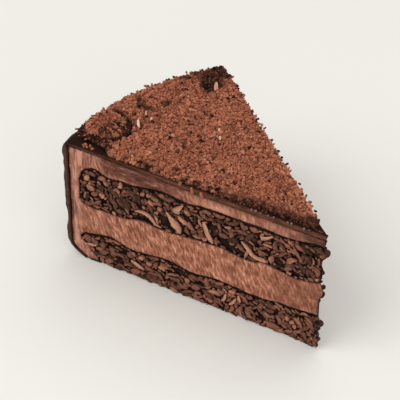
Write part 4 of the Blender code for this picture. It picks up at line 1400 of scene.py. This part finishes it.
def make_crumb_bed(settings, material):
    """The blanket of crumbs that the loose ones lie on."""
    rng = np.random.default_rng(6)
    outline = blanket_outline(rng, 0.35 * MM)
    flat, faces, inset = filled(outline, BED_SPACING, rng)
    bottom = GLAZE_TOP + 0.02 * MM
    height = bed_height(flat, settings, inset)
    count, size = len(flat), len(outline)
    points = np.column_stack((flat, bottom + height))
    under = np.column_stack((outline, np.full(size, bottom)))
    faces = [list(face) for face in faces]
    for i in range(size):
        before = (i - 1) % size
        faces.append([before, i, count + i, count + before])
    faces.append(list(range(count, count + size)))
    all_flat = np.concatenate((flat, outline))
    tones = 0.42 + 0.16 * noise_at(*all_flat.T, 1.0, 1.3 * MM)
    # The bed takes at least half the dark crumbs' colour: painted shade in the gaps between the loose
    # crumbs
    attributes = {"tone": tones, "dark": np.maximum(darkness(all_flat), 0.5)}
    points = np.concatenate((points, under))
    bed = add_piece("crumb_bed", points, faces, material, attributes)
    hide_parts("crumb_topping")


def random_turns(count, rng):
    """Three arrays of directions at right angles, turned at random."""
    frames = np.linalg.qr(rng.normal(size=(count, 3, 3)))[0]
    return frames[:, 0], frames[:, 1], frames[:, 2]


def side_axes(directions):
    """The directions made one long, and two more at right angles to each, the first of them level."""
    long_axis = unit(directions)
    side = unit(np.cross(long_axis, UP))
    return long_axis, side, np.cross(long_axis, side)


def long_sizes(count, half, stretch, rng):
    """Half lengths of long crumbs, from ranges of their half width in mm and of length over width."""
    wide = rng.uniform(*half, count) * MM
    return np.stack((wide * rng.uniform(*stretch, count), wide, wide), -1)


def long_crumbs(base, centres, directions, sizes, rng):
    """Uneven, slightly bent crumbs that point in those directions."""
    return scatter(base, centres, side_axes(directions), sizes, rng, 0.08, 0.2)


def grains(base, centres, half, spread, swell, rng):
    """Grains turned at random, from ranges of their half length in mm and of its spread."""
    count = len(centres)
    sizes = rng.uniform(*half, (count, 1)) * rng.uniform(*spread, (count, 3)) * MM
    return scatter(base, centres, random_turns(count, rng), sizes, rng, swell)


def plan_places(outline, count, rng):
    """Random plan points inside an outline."""
    low, high = outline.min(0), outline.max(0)
    spots = rng.uniform(low, high, (count * 3, 2))
    return spots[within(outline, spots)][:count]


def crumb_looks(flat, rng, dark_share):
    """Tone and darkness of each crumb."""
    count = len(flat)
    tones = rng.normal(0.5, 0.13, count)
    tones = np.where(rng.random(count) < 0.012, rng.uniform(0.8, 1.0, count), tones)
    clump = clump_share(flat)[0]
    tones -= 0.26 * clump
    towards = (flat - CLUMP_PLACE) @ DASHES_TOWARDS / CLUMP_RADIUS
    dark_share = dark_share + 0.6 * (clump > 0.02) * ease(-0.2, 0.7, towards)
    dark = darkness(flat) * rng.uniform(0.7, 1.25, count)
    dark = np.where(rng.random(count) < dark_share, rng.uniform(0.65, 1.0, count), dark)
    return {"tone": np.clip(tones, 0, 1), "dark": np.clip(dark, 0, 1)}


def make_loose_crumbs(name, settings, material, count, size, detail, seed):
    """Loose crumbs of one size over the whole bed, some past its edge."""
    rng = np.random.default_rng(seed)
    outline = blanket_outline(rng, 0.5 * MM)
    flat = plan_places(outline, count, rng)
    flat = flat[clump_share(flat)[1] < rng.uniform(0.1, 1.1, len(flat))]
    count = len(flat)
    half = size * np.minimum(rng.lognormal(0, 0.28, count), 1.5)
    sizes = half[:, None] * rng.uniform((1.0, 0.7, 0.6), (1.4, 1.0, 0.9), (count, 3))
    inset = distance_to(outline, flat)
    height = bed_height(flat, settings, inset) + half * rng.uniform(-0.3, 0.55, count)
    centres = np.column_stack((flat, GLAZE_TOP + height))
    bundle, base = Bundle(), ball(detail)
    made = scatter(base, centres, random_turns(count, rng), sizes, rng, 0.11)
    bundle.add_copies(base, made, **crumb_looks(flat, rng, 0.11))
    bundle.piece(name, material, "crumbs", smooth=detail > 1)


def add_edge_nubs(bundle, base, rng):
    """Crumbs along the blanket's edge. Some stick out past it, but not over the near cut."""
    outline = blanket_outline(rng, 0.15 * MM)
    back = np.roll(outline, 1, axis=0) - np.roll(outline, -1, axis=0)
    outward = unit(np.stack((back[:, 1], -back[:, 0]), -1))
    count = EDGE_CRUMBS
    chosen = rng.integers(0, len(outline), count)
    spots, outs = outline[chosen], outward[chosen]
    near = (outs[:, 1] < -0.5) & (spots[:, 0] > -0.045)
    nub = (rng.random(count) < NUB_SHARE) & ~near

    def either(of_nubs, of_others):
        """Draws from one range for the nubs and from the other for the rest, in mm."""
        return np.where(nub, rng.uniform(*of_nubs, count), rng.uniform(*of_others, count)) * MM

    reach = either((0.4, 1.0), (-0.9, -0.05))
    z = GLAZE_TOP + either((0.6, 1.5), (0.3, 1.4))
    directions = np.column_stack((outs, rng.normal(0.3, 0.45, count)))
    directions += rng.normal(0, 0.35, directions.shape)
    half = either((0.4, 0.62), (0.4, 0.6))
    sizes = np.stack((half * rng.uniform(1.1, 1.8, count), half, half * 0.9), -1)
    centres = np.column_stack((spots + outs * reach[:, None], z))
    made = long_crumbs(base, centres, directions, sizes, rng)
    bundle.add_copies(base, made, **crumb_looks(centres[:, :2], rng, np.where(nub, 0.5, 0.2)))


def add_hanging_crumbs(bundle, base, rng):
    """A few long crumbs that hang over the near cut."""
    s, z = np.array(HANGING_CRUMBS).T * MM
    count = len(s)
    down = -UP + rng.normal(0, 0.25, (count, 3))
    sizes = long_sizes(count, (0.6, 0.75), (1.9, 2.6), rng)
    made = long_crumbs(base, NEAR.point(s, z, 0.3 * MM), down, sizes, rng)
    bundle.add_copies(base, made, tone=rng.uniform(0.3, 0.5, count), dark=np.zeros(count))


def add_stray_crumbs(bundle, base, rng):
    """A few crumbs strayed onto the bare corner."""
    s, behind = np.array(STRAY_CRUMBS).T * MM
    count = len(s)
    centres = NEAR.point(s, GLAZE_TOP + 0.3 * MM, -behind)
    made = grains(base, centres, (0.4, 0.65), (0.8, 1.4), 0.1, rng)
    bundle.add_copies(base, made, tone=rng.uniform(0.3, 0.6, count), dark=np.zeros(count))


def add_dust(bundle, base, rng):
    """Dark dust on the glaze between the blanket and the near cut, towards the tip."""
    count = DUST_CRUMBS
    s = rng.uniform(0.068, 0.1125, count)
    bare = np.minimum(on_line(NEAR_INSET, s) + 0.5 * MM, 0.8 * (RADIUS - s) * math.tan(HALF_ANGLE))
    centres = NEAR.point(s, GLAZE_TOP + 0.15 * MM, -bare * rng.uniform(0.12, 1.0, count) ** 0.7)
    made = grains(base, centres, (0.22, 0.45), (0.7, 1.3), 0.1, rng)
    bundle.add_copies(base, made, tone=np.full(count, 0.45), dark=rng.uniform(0.6, 1.0, count))


def make_edge_crumbs(material):
    """The crumbs at the blanket's edge and past it."""
    rng = np.random.default_rng(12)
    bundle, base = Bundle(), ball(2)
    for add in (add_edge_nubs, add_hanging_crumbs, add_stray_crumbs, add_dust):
        add(bundle, base, rng)
    bundle.piece("crumb_edge_nubs", material, "crumbs")


def make_flakes(settings):
    """Pale flakes on the crumbs and dim specks on the bare glaze by the tip."""
    rng = np.random.default_rng(15)
    x, y, length, width, tone = np.array(PALE_FLAKES).T
    flat = np.column_stack((x, y)) * MM
    count = len(flat)
    z = GLAZE_TOP + bed_height(flat, settings) + 0.9 * MM
    away = np.array((-0.75, 0.66, 0.18)) + rng.normal(0, 0.1, (count, 3))
    sizes = np.column_stack((length, width, np.full(count, 0.7))) / 2 * MM
    bundle, base = Bundle(), ball(3)
    made = scatter(base, np.column_stack((flat, z)), side_axes(away), sizes, rng, 0.05, 0.1)
    bundle.add_copies(base, made, tone=tone)
    specks, base = np.array(SPECKS) * MM, ball(2)
    centres = np.column_stack((specks, np.full(len(specks), GLAZE_TOP + 0.3 * MM)))
    made = grains(base, centres, (0.35, 0.6), (0.8, 1.1), 0.06, rng)
    bundle.add_copies(base, made, tone=np.full(len(specks), SPECK_TONE))
    bundle.piece("pale_flakes", flake_material(), "crumbs")


def from_clump(turn, reach):
    """Plan points round the clump's middle, their directions from it and their distance from the rim."""
    off = np.stack((np.cos(turn), np.sin(turn)), -1)
    flat = CLUMP_PLACE + off * reach[:, None]
    return flat, off, RADIUS - np.linalg.norm(flat - (TIP_X, 0), axis=1)


def add_clump(bundle, base, settings, rng):
    """Long crumbs that point away from the clump's middle and droop towards its edge."""
    turn = rng.uniform(0, 2 * math.pi, CLUMP_CRUMBS)
    reach = clump_radius(turn) * np.sqrt(rng.uniform(0.0, 1.0, CLUMP_CRUMBS))
    flat, off, rim_distance = from_clump(turn, reach)
    keep = rim_distance > 1.1 * MM
    flat, off, reach = flat[keep], off[keep], reach[keep]
    count = len(flat)
    droop = -0.15 - 0.75 * (reach / CLUMP_RADIUS) ** 2
    directions = np.column_stack((off, droop)) + rng.normal(0, 0.25, (count, 3))
    sizes = long_sizes(count, (0.4, 0.62), (1.6, 2.6), rng)
    height = bed_height(flat, settings) + rng.uniform(-0.1, 0.3, count) * MM
    centres = np.column_stack((flat, GLAZE_TOP + height))
    made = long_crumbs(base, centres, directions, sizes, rng)
    bundle.add_copies(base, made, **crumb_looks(flat, rng, 0.1))


def add_fringe(bundle, base, rng):
    """Dark dashes round the clump, where it isn't open."""
    turn = rng.uniform(*FRINGE_TURN, FRINGE_CRUMBS)
    wide = 4.2 * MM * (1 - 0.4 * ease(*np.radians((-60, 40)), turn))
    reach = clump_radius(turn) - 0.9 * MM + wide * rng.random(FRINGE_CRUMBS)
    flat, off, rim_distance = from_clump(turn, reach)
    keep = (rim_distance > 1.5 * MM) & ((flat - NEAR.start[:2]) @ NEAR.out[:2] < -0.8 * MM)
    flat, off = flat[keep], off[keep]
    count = len(flat)
    directions = np.column_stack((off, rng.normal(0.1, 0.45, count))) + rng.normal(0, 0.3, (count, 3))
    sizes = long_sizes(count, (0.36, 0.55), (1.6, 2.8), rng)
    centres = np.column_stack((flat, GLAZE_TOP + rng.uniform(0.2, 1.1, count) * MM))
    made = long_crumbs(base, centres, directions, sizes, rng)
    dark = np.where(rng.random(count) < 0.88, rng.uniform(0.85, 1.0, count), rng.uniform(0.0, 0.5, count))
    bundle.add_copies(base, made, tone=rng.uniform(0.2, 0.5, count), dark=dark)


def make_clump_crumbs(settings, material):
    """The clump of longer crumbs by the rim, and the dark dashes round it."""
    rng = np.random.default_rng(13)
    bundle, base = Bundle(), ball(2)
    add_clump(bundle, base, settings, rng)
    add_fringe(bundle, base, rng)
    bundle.piece("crumb_clump", material, "crumbs")


def add_stage(settings):
    """A plain pale floor, soft lights and the camera."""
    scene = bpy.context.scene
    bpy.ops.mesh.primitive_plane_add(size=6)
    floor = bpy.context.object
    floor.name = "floor"
    shader = Shader("pale_floor", 0.9, 0.1)
    shader.base(tuple(settings.floor))
    floor.data.materials.append(shader.material)
    world = bpy.data.worlds.new("soft_room")
    world.use_nodes = True
    background = world.node_tree.nodes["Background"]
    background.inputs["Color"].default_value = (1.0, 0.985, 0.96, 1.0)
    background.inputs["Strength"].default_value = settings.sky
    scene.world = world
    for name, spot, size in LIGHTS:
        add_light(name, spot, size, getattr(settings, name))
    add_camera(scene)
    scene.view_settings.view_transform = "Standard"


def look_at(thing, spot, target, roll=0.0):
    """Puts a light or camera at a spot, looking at the target."""
    direction = Vector(target) - Vector(spot)
    turn = direction.to_track_quat("-Z", "Y").to_matrix().to_4x4()
    thing.matrix_world = Matrix.Translation(spot) @ turn @ Matrix.Rotation(roll, 4, "Z")


def add_light(name, spot, size, power):
    """A soft square light that looks at the cake."""
    light = bpy.data.lights.new(name, "AREA")
    light.size = size
    light.energy = power
    shown = bpy.data.objects.new(name, light)
    bpy.context.scene.collection.objects.link(shown)
    look_at(shown, spot, LIGHTS_LOOK_AT)


def add_camera(scene):
    """The camera at the photograph's angle."""
    flat = math.cos(CAMERA_ELEVATION)
    back = Vector((
        math.sin(CAMERA_AZIMUTH) * flat, -math.cos(CAMERA_AZIMUTH) * flat, math.sin(CAMERA_ELEVATION),
    ))
    camera = bpy.data.cameras.new("camera")
    camera.lens = CAMERA_LENS
    camera.sensor_width = 36
    shown = bpy.data.objects.new("camera", camera)
    scene.collection.objects.link(shown)
    spot = Vector(CAMERA_TARGET) + back * CAMERA_DISTANCE
    look_at(shown, spot, CAMERA_TARGET, CAMERA_ROLL)
    scene.camera = shown


class CAKE_OT_sponge(bpy.types.Operator):
    """Build both sponge layers with their lumps and slivers"""

    bl_idname = "cake.sponge"
    bl_label = "Sponge"

    def execute(self, context):
        settings = context.scene.cake_sponge
        material = sponge_material(settings)
        for layer in (LOWER, UPPER):
            sponge_ground(layer, settings, material)
            sponge_lumps(layer, settings, material)
        make_slivers(settings)
        make_tip_nubs(material)
        return {"FINISHED"}


class CAKE_OT_mousse(bpy.types.Operator):
    """Build the mousse round the sponge layers"""

    bl_idname = "cake.mousse"
    bl_label = "Mousse"

    def execute(self, context):
        make_mousse(context.scene.cake_mousse)
        return {"FINISHED"}


class CAKE_OT_glaze(bpy.types.Operator):
    """Build the dark glaze over the top and the rim"""

    bl_idname = "cake.glaze"
    bl_label = "Glaze"

    def execute(self, context):
        make_glaze(context.scene.cake_glaze)
        return {"FINISHED"}


class CAKE_OT_crumbs(bpy.types.Operator):
    """Build the blanket of crumbs and the loose ones on it"""

    bl_idname = "cake.crumbs"
    bl_label = "Crumbs"

    def execute(self, context):
        settings = context.scene.cake_crumbs
        material = crumb_material(settings)
        make_crumb_bed(settings, material)
        for name, count, size, detail, seed in (
            ("crumbs_fine", settings.fine_count, settings.fine_size, 1, 7),
            ("crumbs_coarse", settings.coarse_count, settings.coarse_size, 2, 9),
        ):
            make_loose_crumbs(name, settings, material, count, size, detail, seed)
        make_edge_crumbs(material)
        make_clump_crumbs(settings, material)
        make_flakes(settings)
        return {"FINISHED"}


class CAKE_OT_stage(bpy.types.Operator):
    """Build the floor, the lights and the camera"""

    bl_idname = "cake.stage"
    bl_label = "Stage"

    def execute(self, context):
        add_stage(context.scene.cake_stage)
        return {"FINISHED"}


class CAKE_PT_panel(bpy.types.Panel):
    """Lists the pieces of the cake"""

    bl_idname = "CAKE_PT_panel"
    bl_label = "Chocolate cake slice"
    bl_space_type = "VIEW_3D"
    bl_region_type = "UI"
    bl_category = "Cake"

    def draw(self, context):
        for operator, settings in STEPS:
            box = self.layout.box()
            box.operator(operator.bl_idname)
            group = getattr(context.scene, settings)
            for name in group.__annotations__:
                box.prop(group, name)


STEPS = (
    (CAKE_OT_sponge, "cake_sponge"),
    (CAKE_OT_mousse, "cake_mousse"),
    (CAKE_OT_glaze, "cake_glaze"),
    (CAKE_OT_crumbs, "cake_crumbs"),
    (CAKE_OT_stage, "cake_stage"),
)
SETTINGS = (SpongeSettings, MousseSettings, GlazeSettings, CrumbSettings, StageSettings)


def register():
    """Registers the settings, the operators and the panel."""
    for group, (operator, name) in zip(SETTINGS, STEPS):
        bpy.utils.register_class(group)
        bpy.utils.register_class(operator)
        setattr(bpy.types.Scene, name, PointerProperty(type=group))
    bpy.utils.register_class(CAKE_PT_panel)


def unregister():
    """Takes them away again."""
    bpy.utils.unregister_class(CAKE_PT_panel)
    for group, (operator, name) in zip(SETTINGS, STEPS):
        delattr(bpy.types.Scene, name)
        bpy.utils.unregister_class(operator)
        bpy.utils.unregister_class(group)


def main():
    """Registers the add-on's classes, then builds the cake and its stage."""
    register()
    bpy.ops.cake.sponge()
    bpy.ops.cake.mousse()
    bpy.ops.cake.glaze()
    bpy.ops.cake.crumbs()
    bpy.ops.cake.stage()


if __name__ == "__main__":
    main()
